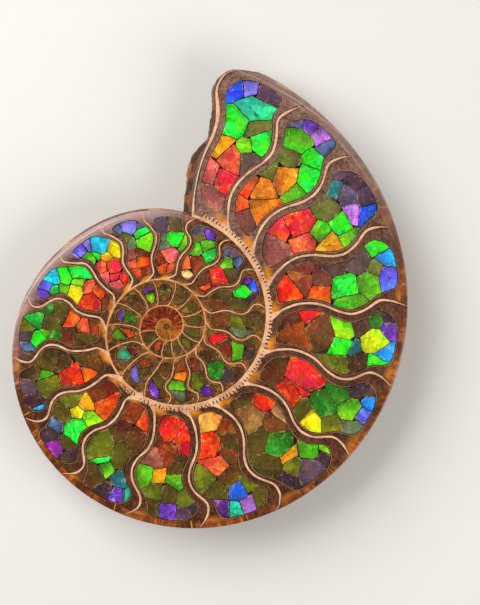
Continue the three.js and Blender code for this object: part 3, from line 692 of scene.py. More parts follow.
def face_material():
    """The ground face: dark calcite, golden matrix further in, honey at the feet and rust at the rim, with a
    painted sheen along the upper-left rim.
    """
    tint = bpy.context.scene.fossil_colours
    material, tree, shader = new_material("polished_calcite", {"Coat Weight": 0.5, "Coat Roughness": 0.06})
    place = object_place(tree)
    spiral = attribute(tree, "spiral").outputs["Vector"]
    known = {name: attribute(tree, name).outputs["Fac"] for name in VALUE_NAMES}
    wander = noise(tree, place, 320.0, 4.0)

    lining = mixed(tree, known["mouthward"], tint.lining, tint.lining_pale)
    # Where the pale mask is high the lining turns greyer: partly greyer calcite, partly a painted sheen.
    misty = mixed(tree, product(tree, known["pale"], 0.6), lining, tint.lining_pale)
    gilt = between(tree, noise(tree, place, 480.0, 5.0, 0.7), 0.5, 0.64)
    speckled = mixed(tree, gilt, tint.matrix, linear((0.66, 0.44, 0.17)))
    ground = mixed(tree, known["inward"], misty, speckled)
    shade = mixed(tree, known["mouthward"], DARK_CALCITE, linear((0.33, 0.23, 0.19)))
    mottled = placed_group(
        tree,
        "Mottle",
        {
            "Vector": place,
            "Color": ground,
            "Patch": shade,
            "Scale": 260.0,
            "Amount": 0.7,
            "Grain": 0.38,
        },
    )["Color"]
    honey = product(tree, known["honey"], between(tree, wander, 0.3, 0.6, 0.35, 1.0))
    amber = mixed(tree, honey, mottled, tint.honey)

    # Round each pocket runs a thin pale line, and the calcite darkens beside each septum.
    from_pocket = maths(tree, "MULTIPLY_ADD", wander, 0.5, known["pocket_mm"])
    inside, outside = between(tree, from_pocket, 0.28, 0.4), between(tree, from_pocket, 0.42, 0.6, 1.0, 0.0)
    broken_up = between(tree, noise(tree, place, 130.0), 0.36, 0.56, 0.2, 0.95)
    clear = product(tree, broken_up, between(tree, known["inward"], 0.3, 0.85, 1.0, 0.3))
    pale_line = product(tree, inside, outside, clear)
    ringed = mixed(tree, pale_line, amber, linear((0.68, 0.52, 0.38)))
    beside_chips = between(tree, from_pocket, 0.16, 0.3, 0.85, 0.0)
    edged = mixed(tree, beside_chips, ringed, DARK_LINE)
    near_septum = between(tree, known["septum_mm"], 0.45, 0.85, 0.8, 0.0)
    banded = mixed(tree, near_septum, edged, DARK_CALCITE)

    # The outer shell is rust-brown, streaked across with orange and layered along its edge.
    across = stretched(tree, spiral, (7.0, 2.5, 1.0))
    streak = noise(tree, across, 1.0, 4.0, 0.6)
    along = stretched(tree, spiral, (0.6, 55.0, 1.0))
    layers = noise(tree, along, 1.0, 3.0, 0.6)
    patches = noise(tree, spiral, 1.3, 3.0)
    rusty = mixed(tree, between(tree, streak, 0.46, 0.66, 0.0, 0.8), tint.rim, linear((0.82, 0.42, 0.08)))
    deep = mixed(tree, between(tree, patches, 0.42, 0.6, 0.8, 0.0), rusty, linear((0.2, 0.08, 0.04)))
    dusky = mixed(tree, product(tree, known["mouthward"], 0.8), deep, linear((0.3, 0.2, 0.14)))
    by_mouth = product(tree, known["mouthward"], 0.7)
    most = maths(tree, "MAXIMUM", between(tree, patches, 0.4, 0.55, 0.1, 0.55), by_mouth)
    layer_share = product(tree, between(tree, layers, 0.52, 0.64), most)
    layered = mixed(tree, layer_share, dusky, linear((0.68, 0.5, 0.3)))
    ray_across = stretched(tree, spiral, (11.0, 0.7, 1.0))
    gold_rays = between(tree, noise(tree, ray_across, 1.0, 2.0), 0.64, 0.7, 0.0, 0.75)
    streaked = mixed(tree, gold_rays, layered, linear((0.85, 0.62, 0.3)))
    ragged = maths(tree, "MULTIPLY_ADD", patches, 3.0, maths(tree, "MULTIPLY_ADD", streak, 1.2, -2.1))
    rim_edge = maths(tree, "ADD", known["edge_mm"], ragged)
    rim_share = product(tree, between(tree, known["mouthward"], 0.3, 0.9, 0.92, 0.3), known["outer"])
    rim = product(tree, between(tree, rim_edge, 1.5, 2.7, 1.0, 0.0), rim_share)
    rimmed = mixed(tree, rim, banded, streaked)
    cracks = placed_group(tree, "Shards", {"Vector": across, "Scale": 0.22, "Width": 0.03, "Share": 0.45})
    shown = product(tree, cracks["Crack"], rim, 0.6)
    cracked = mixed(tree, shown, rimmed, linear((0.8, 0.5, 0.25)))
    # Painted sheen: a soft whitish haze that runs inwards from the rim where the pale mask is high, over the
    # upper-left arc and a little near the mouth.
    sheen_reach = maths(tree, "MULTIPLY_ADD", wander, 2.0, known["edge_mm"])
    painted_sheen = product(tree, between(tree, sheen_reach, 1.0, 5.5, 0.62, 0.0), known["pale"])
    sheened = mixed(tree, painted_sheen, cracked, linear((0.72, 0.63, 0.63)))
    growth_place = stretched(tree, spiral, (0.5, 26.0, 1.0))
    growth_lines = between(tree, noise(tree, growth_place, 1.0, 3.0, 0.6), 0.5, 0.62)
    near_rim = between(tree, known["edge_mm"], 0.6, 5.5, 0.75, 0.0)
    growth = product(tree, growth_lines, near_rim, known["mouthward"])
    lined = mixed(tree, growth, sheened, linear((0.74, 0.6, 0.48)))

    # The middle of the coil: rust-red calcite with rays, then the golden first whorl and its dark heart.
    ray_place = stretched(tree, spiral, (1.1, 5.0, 1.0))
    rays = noise(tree, ray_place, 1.0, 4.0, 0.65)
    rayed = mixed(tree, between(tree, rays, 0.42, 0.52, 0.9, 0.0), tint.rust, linear((0.24, 0.07, 0.03)))
    lit_rays = mixed(tree, between(tree, rays, 0.57, 0.63, 0.0, 0.7), rayed, linear((0.74, 0.4, 0.22)))
    embers = mixed(tree, known["ember"], lit_rays, mixed(tree, between(tree, rays, 0.4, 0.56), *EMBERS))
    heart = mixed(tree, known["rust"], lined, embers)
    broad_rays = noise(tree, ray_place, 0.5, 4.0, 0.7)
    dim_rays = between(tree, broad_rays, 0.42, 0.56, 0.9, 0.0)
    gold = mixed(tree, dim_rays, tint.golden, linear((0.4, 0.19, 0.04)))
    gilded = mixed(tree, known["first_whorl"], heart, gold)
    middle = mixed(tree, known["nucleus"], gilded, linear((0.1, 0.13, 0.04)))

    # Calcite grains catch the light as small pale specks.
    grains = node(tree, "ShaderNodeTexVoronoi", {"Vector": place, "Scale": 1900.0})
    speck = maths(tree, "LESS_THAN", grains.outputs["Distance"], 0.2)
    chosen = between(tree, noise(tree, place, 420.0, 2.0), 0.5, 0.66, 0.0, 0.6)
    specked = mixed(tree, product(tree, speck, chosen), middle, linear((0.78, 0.62, 0.45)))
    tree.links.new(specked, shader.inputs["Base Color"])
    tree.links.new(between(tree, wander, 0.3, 0.7, 0.1, 0.26), shader.inputs["Roughness"])
    roughen(tree, shader, wander, 0.1, 0.0002)
    return material


def cream_material():
    """Septa and walls: cream calcite, a little pink, golden in the inner whorls, with darker stains."""
    tint = bpy.context.scene.fossil_colours
    material, tree, shader = new_material("cream_septum", {"Coat Weight": 0.5, "Coat Roughness": 0.05})
    place = object_place(tree)
    golden = mixed(tree, attribute(tree, "golden").outputs["Fac"], tint.septum, tint.inner_wall)
    stained = placed_group(
        tree,
        "Mottle",
        {
            "Vector": place,
            "Color": golden,
            "Patch": (*tint.rim, 1),
            "Scale": 230.0,
            "Amount": 0.4,
            "Grain": 0.1,
        },
    )
    tree.links.new(stained["Color"], shader.inputs["Base Color"])
    tree.links.new(between(tree, stained["Height"], 0.3, 0.7, 0.16, 0.34), shader.inputs["Roughness"])
    roughen(tree, shader, stained["Height"], 0.1, 0.0001)
    return material


def hollow_material():
    """Dark holes of the tube that ran through the chambers: near-black painted shade on low beads that stand
    for the holes.
    """
    material, tree, shader = new_material("dark_hole", {"Specular IOR Level": 0.3})
    place = object_place(tree)
    # Painted shade: the near-black mottle of the holes.
    hole_shade = placed_group(
        tree,
        "Mottle",
        {
            "Vector": place,
            "Color": (0.012, 0.007, 0.004, 1),
            "Patch": (0.05, 0.025, 0.012, 1),
            "Scale": 600.0,
            "Amount": 0.7,
        },
    )
    tree.links.new(hole_shade["Color"], shader.inputs["Base Color"])
    tree.links.new(between(tree, hole_shade["Height"], 0.3, 0.7, 0.25, 0.5), shader.inputs["Roughness"])
    return material


# Towards the mouth's tip the dull calcite turns from brown to mauve.
MOUTH_DIRECTION = (0.5, 0.87, 0)


def chip_material():
    """Iridescent shell: shards of the chip's own colour, some lit and some dark, cracked and stained."""
    strength = bpy.context.scene.fossil_colours.chip_strength
    material, tree, shader = new_material(
        "iridescent_chip", {"Coat Weight": 0.6, "Coat Roughness": 0.05, "Specular IOR Level": 0.35}
    )
    place = object_place(tree)
    own = attribute(tree, "chip_colour").outputs["Color"]
    grain = attribute(tree, "grain").outputs["Vector"]
    core = attribute(tree, "core").outputs["Fac"]
    dull = attribute(tree, "dull").outputs["Fac"]
    shards = placed_group(tree, "Shards", {"Vector": grain, "Scale": 0.85, "Width": 0.03, "Share": 0.5})
    patchy = noise(tree, grain, 1.1, 5.0, 0.65, 0.8)
    fold_place = stretched(tree, grain, (0.9, 5.0, 1.0))
    folds = noise(tree, fold_place, 1.0, 3.0, 0.6, 1.5)
    crackle = noise(tree, place, 900.0, 3.0, 0.7)

    # Lit shards and dark ones lie side by side in one chip, and a few of them are folded.
    tone = between(tree, shards["Tone"], 0.0, 1.0, 0.78, 1.18)
    cloudy = between(tree, patchy, 0.34, 0.6, 0.72, 1.2)
    fine = between(tree, crackle, 0.34, 0.66, 0.84, 1.14)
    edge_shade = between(tree, core, 0.0, 0.3, 0.9, 1.03)
    fold_share = maths(tree, "MULTIPLY_ADD", dull, -0.4, 0.7)
    folded = product(tree, between(tree, shards["Kind"], 0.66, 0.8), fold_share)
    fold_light = mixed(tree, folded, (1.0, 1.0, 1.0), between(tree, folds, 0.36, 0.64, 0.6, 1.4))
    light = product(tree, tone, cloudy, product(tree, edge_shade, fold_light))
    hue = between(tree, maths(tree, "ADD", shards["Kind"], patchy), 0.4, 1.6, 0.492, 0.511)
    shifted = node(
        tree,
        "ShaderNodeHueSaturation",
        {"Hue": hue, "Saturation": strength, "Value": product(tree, light, fine), "Color": own},
    ).outputs[0]
    glow = product(tree, between(tree, patchy, 0.54, 0.7, 0.0, 0.6), shards["Tone"])
    lit = mixed(tree, glow, shifted, (1.0, 0.95, 0.6), "SOFT_LIGHT")

    gleam = between(tree, shards["Tone"], 0.55, 0.85, 0.0, 0.6)
    glint = product(tree, between(tree, patchy, 0.56, 0.66), gleam)
    glint_share = product(tree, glint, maths(tree, "SUBTRACT", 1.0, dull))
    glinting = mixed(tree, glint_share, lit, (0.42, 0.42, 0.2), "SCREEN")

    # Stains run on from chip to chip, olive in one place and brown in the next, most in the dull chips.
    drift = noise(tree, place, 110.0, 4.0, 0.6, 0.5)
    drifted = between(tree, drift, 0.4, 0.6)
    brown = mixed(tree, drifted, linear((0.24, 0.12, 0.05)), linear((0.34, 0.32, 0.05)))
    blotch = noise(tree, place, 420.0, 5.0, 0.7)
    upwards = node(tree, "ShaderNodeVectorMath", {0: place, 1: MOUTH_DIRECTION}, operation="DOT_PRODUCT")
    earthy = mixed(tree, between(tree, blotch, 0.5, 0.64, 0.0, 0.6), brown, linear((0.5, 0.28, 0.1)))
    mauve = mixed(tree, drifted, linear((0.34, 0.24, 0.25)), linear((0.52, 0.36, 0.37)))
    misty = mixed(tree, between(tree, upwards.outputs["Value"], -0.005, 0.035, 0.0, 0.85), earthy, mauve)
    least = maths(tree, "MULTIPLY_ADD", dull, 0.35, 0.04)
    most = maths(tree, "MULTIPLY_ADD", dull, 0.48, 0.22)
    stain = between(tree, noise(tree, place, 260.0, 5.0, 0.65), 0.42, 0.62, least, most)
    stained = mixed(tree, stain, glinting, misty)
    crack_share = maths(tree, "MULTIPLY_ADD", dull, -0.4, 0.75)
    cracked = mixed(tree, product(tree, shards["Crack"], crack_share), stained, DARK_LINE)
    near_edge = between(tree, core, 0.0, 0.09, 1.0, 0.0)
    lips = product(tree, near_edge, between(tree, patchy, 0.53, 0.6, 0.0, 0.45))
    lipped = mixed(tree, lips, cracked, linear((0.9, 0.75, 0.55)))
    # Painted glints: small pale sparkles scattered over the chips, most on the dull ones.
    sparkle_cells = node(tree, "ShaderNodeTexVoronoi", {"Vector": place, "Scale": 1500.0})
    sparkle = maths(tree, "LESS_THAN", sparkle_cells.outputs["Distance"], 0.17)
    on_dull = maths(tree, "MULTIPLY_ADD", dull, 0.25, 0.35)
    sparkle_share = product(tree, between(tree, blotch, 0.46, 0.6), on_dull)
    sparkled = mixed(tree, product(tree, sparkle, sparkle_share), lipped, linear((0.95, 0.88, 0.66)))
    tree.links.new(sparkled, shader.inputs["Base Color"])
    tree.links.new(between(tree, patchy, 0.35, 0.65, 0.0, 0.15), shader.inputs["Metallic"])
    tree.links.new(between(tree, folds, 0.3, 0.7, 0.18, 0.4), shader.inputs["Roughness"])
    ridges = maths(tree, "ADD", product(tree, folds, folded), product(tree, shards["Tone"], 0.5))
    roughen(tree, shader, ridges, 0.25, 0.0003)
    return material


def shell_material():
    """The domed back: brown polished shell with growth lines, and raw broken shell at the mouth."""
    tint = bpy.context.scene.fossil_colours
    material, tree, shader = new_material("outer_shell", {"Coat Weight": 0.35, "Coat Roughness": 0.12})
    place = object_place(tree)
    spiral = attribute(tree, "spiral").outputs["Vector"]
    cloudy = placed_group(
        tree,
        "Mottle",
        {"Vector": place, "Color": (*tint.shell, 1), "Patch": (*tint.honey, 1), "Scale": 55.0, "Amount": 0.4},
    )
    growth = stretched(tree, spiral, (1.0, 0.08, 0.08))
    lines = noise(tree, growth, 14.0, 5.0, 0.7)
    dark_lines = between(tree, lines, 0.5, 0.66, 0.0, 0.55)
    lined = mixed(tree, dark_lines, cloudy["Color"], linear((0.24, 0.11, 0.06)))
    nacre = noise(tree, place, 34.0, 4.0, 0.6, 1.0)
    pearl = mixed(tree, between(tree, nacre, 0.56, 0.7, 0.0, 0.5), lined, tint.septum)
    cracks = placed_group(tree, "Shards", {"Vector": place, "Scale": 90.0, "Width": 0.02, "Share": 0.5})
    cracked = mixed(tree, product(tree, cracks["Crack"], 0.7), pearl, linear((0.16, 0.08, 0.04)))
    raw = placed_group(
        tree,
        "Mottle",
        {
            "Vector": place,
            "Color": (*linear((0.2, 0.1, 0.04)), 1),
            "Patch": (*linear((0.6, 0.33, 0.08)), 1),
            "Scale": 170.0,
            "Amount": 0.65,
            "Grain": 0.3,
        },
    )
    broken = attribute(tree, "broken").outputs["Fac"]
    tree.links.new(mixed(tree, broken, cracked, raw["Color"]), shader.inputs["Base Color"])
    rough = maths(tree, "MULTIPLY_ADD", broken, 0.15, between(tree, lines, 0.3, 0.7, 0.22, 0.42))
    tree.links.new(rough, shader.inputs["Roughness"])
    tree.links.new(maths(tree, "MULTIPLY_ADD", broken, -0.35, 0.45), shader.inputs["Specular IOR Level"])
    relief = maths(tree, "ADD", lines, product(tree, raw["Height"], broken))
    roughen(tree, shader, relief, 0.35, 0.0006)
    return material


def floor_material():
    material, tree, shader = new_material("pale_floor", {"Roughness": 0.75})
    drift = between(tree, noise(tree, object_place(tree), 3.0), 0.3, 0.7, 0.0, 0.04)
    pale = bpy.context.scene.fossil_stage.floor_colour
    tree.links.new(mixed(tree, drift, pale, (0.5, 0.5, 0.5)), shader.inputs["Base Color"])
    return material


# The face is a plate of this thickness: its pockets go right through, down to the body below.
PLATE = 1.8
EDGE_ROUNDING = 0.3


def flank_profile(angle):
    """The shell's section at a turn angle, rim to umbilicus, as smooth (radius, depth) points."""
    radius, thickness = wall_radius(angle), half_thickness(angle)
    edge = edge_radius(angle)
    corners = [(edge, -1.5), ((edge + radius) / 2, EDGE_SHARE * thickness)]
    corners += [(radius * share, thickness * depth) for share, depth in FLANK]
    return corners


def rim_radius(angle, depth):
    """The rim's radius at a small depth below the face, its top edge rounded."""
    (top, top_depth), (low, low_depth) = flank_profile(angle)[:2]
    straight = top + (low - top) * max(depth, 0) / low_depth
    lack = max(EDGE_ROUNDING - depth, 0)
    return straight - (EDGE_ROUNDING - math.sqrt(max(EDGE_ROUNDING**2 - lack**2, 0)))


def overhang_turn(share, angle, depth):
    """How far the raw shell of the mouth stands out at a depth, in degrees of turn."""
    reach = linear_at(tuple((s, o) for s, _, o in MOUTH_EDGE), share) * linear_at(MOUTH_FLARE, depth)
    return math.degrees(reach / face_point(angle, max(share, 0)).length)


def chamber_loop(side, wall):
    """Once round a chamber's edge, as (share across, share out), with so many steps along side and wall."""
    loop = [(k / wall, 0.0) for k in range(wall)]
    loop += [(1.0, k / side) for k in range(side)]
    loop += [(1 - k / wall, 1.0) for k in range(wall)]
    loop += [(0.0, 1 - k / side) for k in range(side)]
    return loop


def pocket_place(number, across, share):
    """Where a line from the pocket's middle to a place on the chamber's edge leaves the pocket."""
    shape = pocket_shape(number)
    mid_across, half_across = (shape["from"] + shape["to"]) / 2, (shape["to"] - shape["from"]) / 2
    mid_share, half_share = (shape["foot"] + shape["top"]) / 2, (shape["top"] - shape["foot"]) / 2
    x, y = (across - mid_across) / half_across, (share - mid_share) / half_share
    pull = (abs(x) ** shape["corner"] + abs(y) ** shape["corner"]) ** (-1 / shape["corner"])
    return mid_across + (across - mid_across) * pull, mid_share + (share - mid_share) * pull


def loop_steps(number):
    if number >= FIRST_INNER_CHAMBER:
        return 22, 10
    return (34, 16) if number >= FIRST_MIDDLE_CHAMBER else (56, 24)


VALUE_NAMES = (
    "septum_mm", "pocket_mm", "edge_mm", "outer", "honey", "mouthward", "inward", "pale", "rust", "ember",
    "first_whorl", "nucleus",
)
# How far patterns along the spiral run for each radian of turn, and for each mm outwards or down.
SPIRAL_TURN, SPIRAL_MM = 6, 0.06


def spiral_place(angle, outwards, down=0):
    """A place in the patterns that follow the spiral."""
    return math.radians(angle) * SPIRAL_TURN, outwards * SPIRAL_MM, down * SPIRAL_MM


def face_values(number, across, share, pocket_distance):
    """What the face's material needs to know about a point of a chamber."""
    angle = chamber_angle(number, across, share)
    height = edge_radius(angle) - wall_radius(angle - FULL_TURN)
    width = (chamber_point(number, 0, share) - chamber_point(number, 1, share)).length
    outer = chamber_angle(number, 0.5, 1) > EDGE_TUCK[0][0]
    foot = (1 - smooth_step(0.03, 0.12, share)) * smooth_step(0.45, 0.8, across)
    corner = smooth_step(0.9, 0.97, share) * smooth_step(0.6, 0.95, across) * 0.7
    corner *= 1 - smooth_step(0, 40, angle)
    # The pale mask rises over the upper-left arc and a little near the mouth. It greys the lining there,
    # partly greyer calcite and partly a painted sheen, and lays a painted whitish sheen in from the rim.
    mauve_and_sheen_arc = smooth_step(-150, -200, angle) - smooth_step(-262, -290, angle)
    return {
        **dict.fromkeys(VALUE_NAMES, 0.0),
        "septum_mm": min(across, 1 - across) * width / linear_at(SEPTUM_SCALE, angle),
        "pocket_mm": pocket_distance,
        "edge_mm": (1 - share) * height,
        "outer": 1.0 if outer else 0.0,
        "honey": max(foot, corner) if outer else 0.3 * foot,
        "mouthward": smooth_step(10, 60, angle) * 0.85 + 0.15 * smooth_step(-60, 10, angle),
        "inward": smooth_step(-240, -400, angle) * 0.85,
        "pale": smooth_step(0.35, 0.8, share) * (mauve_and_sheen_arc + 0.4 * smooth_step(0, 50, angle)),
        "spiral": spiral_place(angle, share * height),
    }


def add_face_values(mesh, values):
    for name in VALUE_NAMES:
        add_values(mesh, name, [v[name] for v in values])
    add_vectors(mesh, "spiral", [v["spiral"] for v in values])


FACE_ROWS = 9
# The depths of the plate's edge, first round its top edge and then down to its underside.
EDGE_DEPTHS = (EDGE_ROUNDING / 3, EDGE_ROUNDING, 1.0, PLATE)


def face_cell(number):
    """One chamber's part of the face, a plate round its pocket, as rings of (point, height, values)."""
    edge = chamber_loop(*loop_steps(number))
    on_rim = chamber_angle(number, 0.5, 1) > EDGE_TUCK[0][0]
    rings = []
    for row in range(FACE_ROWS + 1):
        ring = []
        for across, share in edge:
            pocket_across, pocket_share = pocket_place(number, across, share)
            t = row / FACE_ROWS
            u, s = pocket_across + (across - pocket_across) * t, pocket_share + (share - pocket_share) * t
            point = chamber_point(number, u, s)
            distance = (point - chamber_point(number, pocket_across, pocket_share)).length
            if on_rim and share == 1:
                point = point * (1 - EDGE_ROUNDING * t / point.length)
            ring.append((point, FACE_TOP, face_values(number, u, s, distance)))
        rings.append(ring)
    for depth in EDGE_DEPTHS:
        ring = []
        for (across, share), (_, _, values) in zip(edge, rings[FACE_ROWS]):
            angle = chamber_angle(number, across, share)
            if number == 0 and across == 0:
                angle += overhang_turn(share, angle, depth)
            point = face_point(angle, share)
            if on_rim and share == 1:
                point = on_circle(rim_radius(angle, depth), angle)
            ring.append((point, FACE_TOP - depth, values))
        rings.append(ring)
    rings.append([(point, FACE_TOP - PLATE, values) for point, _, values in rings[0]])
    return rings


# Edges of face and back sharper than this are creased, in degrees.
FACE_CREASE, BACK_CREASE = 50, 32

NUCLEUS_RINGS = 44
NUCLEUS_STEP = 3
NUCLEUS_RADIUS = 1.15
# Where rust turns to embers and embers to gold, and over how many degrees to either side.
EMBER_ANGLE, EMBER_SPREAD = -1085, 50
FIRST_WHORL_ANGLE, FIRST_WHORL_SPREAD = -1195, 30
INNERMOST_ANGLE = WALL_FIRST_ANGLE - WALL_STEP * (len(WALL_RADII) - 1)


def whorl_angle(angle, radius):
    """The turn angle of the whorl that holds a point near the middle of the coil."""
    while angle > INNERMOST_ANGLE and wall_radius(angle - FULL_TURN) > radius:
        angle -= FULL_TURN
    return angle


def nucleus_cell():
    """The middle of the coil: a closed disc inside the turn of wall that starts at the last septum."""
    first = SEPTUM_ANGLES[-1]
    angles = [first - NUCLEUS_STEP * k for k in range(FULL_TURN // NUCLEUS_STEP + 1)]
    rings = []
    for row in range(NUCLEUS_RINGS + 1):
        out = max(row / NUCLEUS_RINGS, 0.01)
        ring = []
        for angle in angles:
            radius = wall_radius(angle) * out
            turned = whorl_angle(angle, radius)
            golden = smooth_step(
                FIRST_WHORL_ANGLE + FIRST_WHORL_SPREAD, FIRST_WHORL_ANGLE - FIRST_WHORL_SPREAD, turned
            )
            heart = 1 - smooth_step(0.75 * NUCLEUS_RADIUS, NUCLEUS_RADIUS, radius)
            ring_of_heart = 0.6 * (1 - smooth_step(0.1, 0.3, abs(radius - 0.45)))
            values = dict.fromkeys(VALUE_NAMES, 0.0)
            values.update(
                septum_mm=2.0,
                pocket_mm=2.0,
                edge_mm=9.0,
                inward=0.85,
                rust=1.0,
                ember=smooth_step(EMBER_ANGLE + EMBER_SPREAD, EMBER_ANGLE - EMBER_SPREAD, turned),
                first_whorl=golden,
                nucleus=max(heart - ring_of_heart, 0),
                spiral=spiral_place(angle, radius),
            )
            ring.append((on_circle(radius, angle), FACE_TOP, values))
        rings.append(ring)
    rings.append([(point, FACE_TOP - PLATE, values) for point, _, values in rings[-1]])
    rings.append([(point, FACE_TOP - PLATE, values) for point, _, values in rings[0]])
    return rings


def make_face(material):
    """The ground face, chamber by chamber, with the pockets open."""
    points, faces, values = [], [], []
    cells = [face_cell(number) for number in range(len(CHIPS))]
    for number, rings in enumerate([*cells, nucleus_cell()]):
        count = len(rings[0])
        # The disc's outline is open where the last septum steps in.
        steps = count if number < len(cells) else count - 1
        first = len(points)
        for ring in rings:
            points += [placed(point, height) for point, height, _ in ring]
            values += [v for _, _, v in ring]
        for k in range(len(rings)):
            here, there = first + k * count, first + (k + 1) % len(rings) * count
            for j in range(steps):
                after = (j + 1) % count
                faces.append((here + j, there + j, there + after, here + after))
        if number == len(cells):
            faces.append([first + k * count for k in range(len(rings))])
            faces.append([first + k * count + count - 1 for k in reversed(range(len(rings)))])
    piece = new_piece("ground_face", points, faces, material)
    add_face_values(piece.data, values)
    piece.data.set_sharp_from_angle(angle=math.radians(FACE_CREASE))
    return piece


TUBE_SPAN = 180
TUBE_COUNT = 7
FINE_TUBES = 2
FINE_STEP = 1.5
COARSE_STEP = 4
SECTION_POINTS = 40
CURVE_PARTS = 8
# The growth ribs: degrees from one to the next, degrees that they swing back, and depth as a share.
RIB_ANGLE = 6.5
RIB_SWEEP = 9
RIB_DEPTH = 0.012
# The tube reaches this far above the underside of the face plate before it is sawn level.
TUBE_SPARE = 3.0
# The middle of the tube's section, and its inner edge, as shares of radius and thickness.
TUBE_MIDDLE = (0.6, 0.45)
TUBE_INNER_EDGE = 0.2
TUBE_END_SHRINK = 0.04
# Points of the back that are nearer than this, in mm, become one.
WELD = 0.02


def spaced_along(corners, count):
    """A smooth curve through corners, as evenly spaced points."""
    fine = []
    for k in range(len(corners) - 1):
        near = [Vector(corners[min(max(k + n, 0), len(corners) - 1)]) for n in (-1, 0, 1, 2)]
        fine += [curve_through(*near, m / CURVE_PARTS) for m in range(CURVE_PARTS)]
    fine.append(Vector(corners[-1]))
    lengths = [0.0]
    for a, b in zip(fine, fine[1:]):
        lengths.append(lengths[-1] + (b - a).length)
    even, k = [], 0
    for n in range(count):
        goal = lengths[-1] * n / (count - 1)
        while k < len(fine) - 2 and lengths[k + 1] < goal:
            k += 1
        even.append(fine[k].lerp(fine[k + 1], (goal - lengths[k]) / (lengths[k + 1] - lengths[k])))
    return even


def tube_ring(angle, shrink):
    """A ring round the shell tube, which reaches past the face, with faint ribs on its flank."""
    radius, thickness = wall_radius(angle), half_thickness(angle)
    corners = flank_profile(angle)
    section = [Vector((corners[0][0], PLATE - TUBE_SPARE)), Vector((rim_radius(angle, PLATE), PLATE))]
    section += spaced_along([(rim_radius(angle, PLATE + 0.1), PLATE + 0.1), *corners[2:]], SECTION_POINTS)
    middle = Vector((TUBE_MIDDLE[0] * radius, TUBE_MIDDLE[1] * thickness))
    ring = []
    for place in section:
        share = place.x / radius
        sweep = angle + RIB_SWEEP * math.sin(math.pi * share)
        wave = 0.5 - 0.5 * math.cos(2 * math.pi * sweep / RIB_ANGLE)
        flank = smooth_step(0.3, 0.5, share) * (1 - smooth_step(0.9, 1.0, share))
        place = Vector((place.x, place.y * (1 - RIB_DEPTH * wave * flank)))
        place = place.lerp(middle, shrink)
        point = on_circle(place.x, angle)
        ring.append(placed(point, FACE_TOP - place.y))
    inner = Vector((TUBE_INNER_EDGE * radius, PLATE - TUBE_SPARE)).lerp(middle, shrink)
    ring.append(placed(on_circle(inner.x, angle), FACE_TOP - inner.y))
    return ring


def lofted(name, rings):
    """A closed skin over rings of the same length."""
    count = len(rings[0])
    faces = [tuple(range(count)), tuple(reversed(range((len(rings) - 1) * count, len(rings) * count)))]
    for k in range(len(rings) - 1):
        for j in range(count):
            a, b = k * count + j, k * count + (j + 1) % count
            faces.append((a, a + count, b + count, b))
    mesh = bpy.data.meshes.new(name)
    mesh.from_pydata([p for ring in rings for p in ring], [], faces)
    turned = bmesh.new()
    turned.from_mesh(mesh)
    bmesh.ops.recalc_face_normals(turned, faces=turned.faces)
    turned.to_mesh(mesh)
    turned.free()
    return in_scene(name, mesh)


def shell_tube(number):
    """Half a turn of the shell, with an end drawn in so that it lies inside the next half turn."""
    first = WALL_FIRST_ANGLE - TUBE_SPAN * number
    step = FINE_STEP if number < FINE_TUBES else COARSE_STEP
    rings = [tube_ring(first - step * k, 0) for k in range(int(TUBE_SPAN / step) + 1)]
    rings.append(tube_ring(first - TUBE_SPAN - step, TUBE_END_SHRINK))
    return lofted(f"tube_{number}", rings)


CUTTER_ROWS = 14
CUTTER_STEPS = 70
# The cutter runs outwards from its foot by its span, in shares of the way out, and ahead by so many degrees.
CUTTER_FOOT, CUTTER_SPAN = -0.6, 1.63
CUTTER_OUTSIDE = 1.35
CUTTER_AHEAD = 24
CUTTER_MARGIN = 1.5


def mouth_cutter():
    """What is missing in front of the broken mouth: a ragged wall that follows the mouth's edge."""
    rough = random.Random(7)
    shares = [CUTTER_FOOT + CUTTER_SPAN * k / CUTTER_STEPS for k in range(CUTTER_STEPS + 1)]
    chips = [[rough.uniform(-1, 1) for _ in shares] for _ in range(CUTTER_ROWS)]
    rings = []
    for row in range(CUTTER_ROWS):
        depth = PLATE - CUTTER_MARGIN + (FACE_Z + 2 * CUTTER_MARGIN - PLATE) * row / (CUTTER_ROWS - 1)
        ragged = smooth_step(PLATE, PLATE + 2, depth)
        ring = []
        for k, share in enumerate(shares):
            angle = linear_at(MOUTH_LINE, share)
            jag = 0.45 * chips[row][k] + 0.5 * math.sin(share * 23 + depth * 1.3)
            angle += overhang_turn(share, angle, depth)
            angle += math.degrees(0.5 * ragged * jag / face_point(angle, max(share, 0.0)).length)
            ring.append(placed(face_point(angle, share), FACE_TOP - depth))
        for share, angle in ((CUTTER_OUTSIDE, MOUTH_LINE[-1][1]), (CUTTER_FOOT, MOUTH_LINE[0][1])):
            ring.append(placed(face_point(angle + CUTTER_AHEAD, share), FACE_TOP - depth))
        rings.append(ring)
    return lofted("mouth_cutter", rings)


def saw_box():
    """All that lies above the underside of the face plate."""
    reach = 2 * WALL_RADII[0]
    rings = []
    for height in (FACE_TOP - PLATE, FACE_TOP + 5):
        corners = ((-reach, -reach), (reach, -reach), (reach, reach), (-reach, reach))
        rings.append([placed(corner, height) for corner in corners])
    return lofted("saw_box", rings)


def combine(piece, others, operation):
    """Joins closed solids to a piece or cuts them from it, and removes them."""
    for other in others:
        modifier = piece.modifiers.new("join", "BOOLEAN")
        modifier.operation = operation
        modifier.solver = "MANIFOLD"
        modifier.object = other
    made = as_evaluated(piece)
    piece.modifiers.clear()
    piece.data = made
    for other in others:
        bpy.data.objects.remove(other)


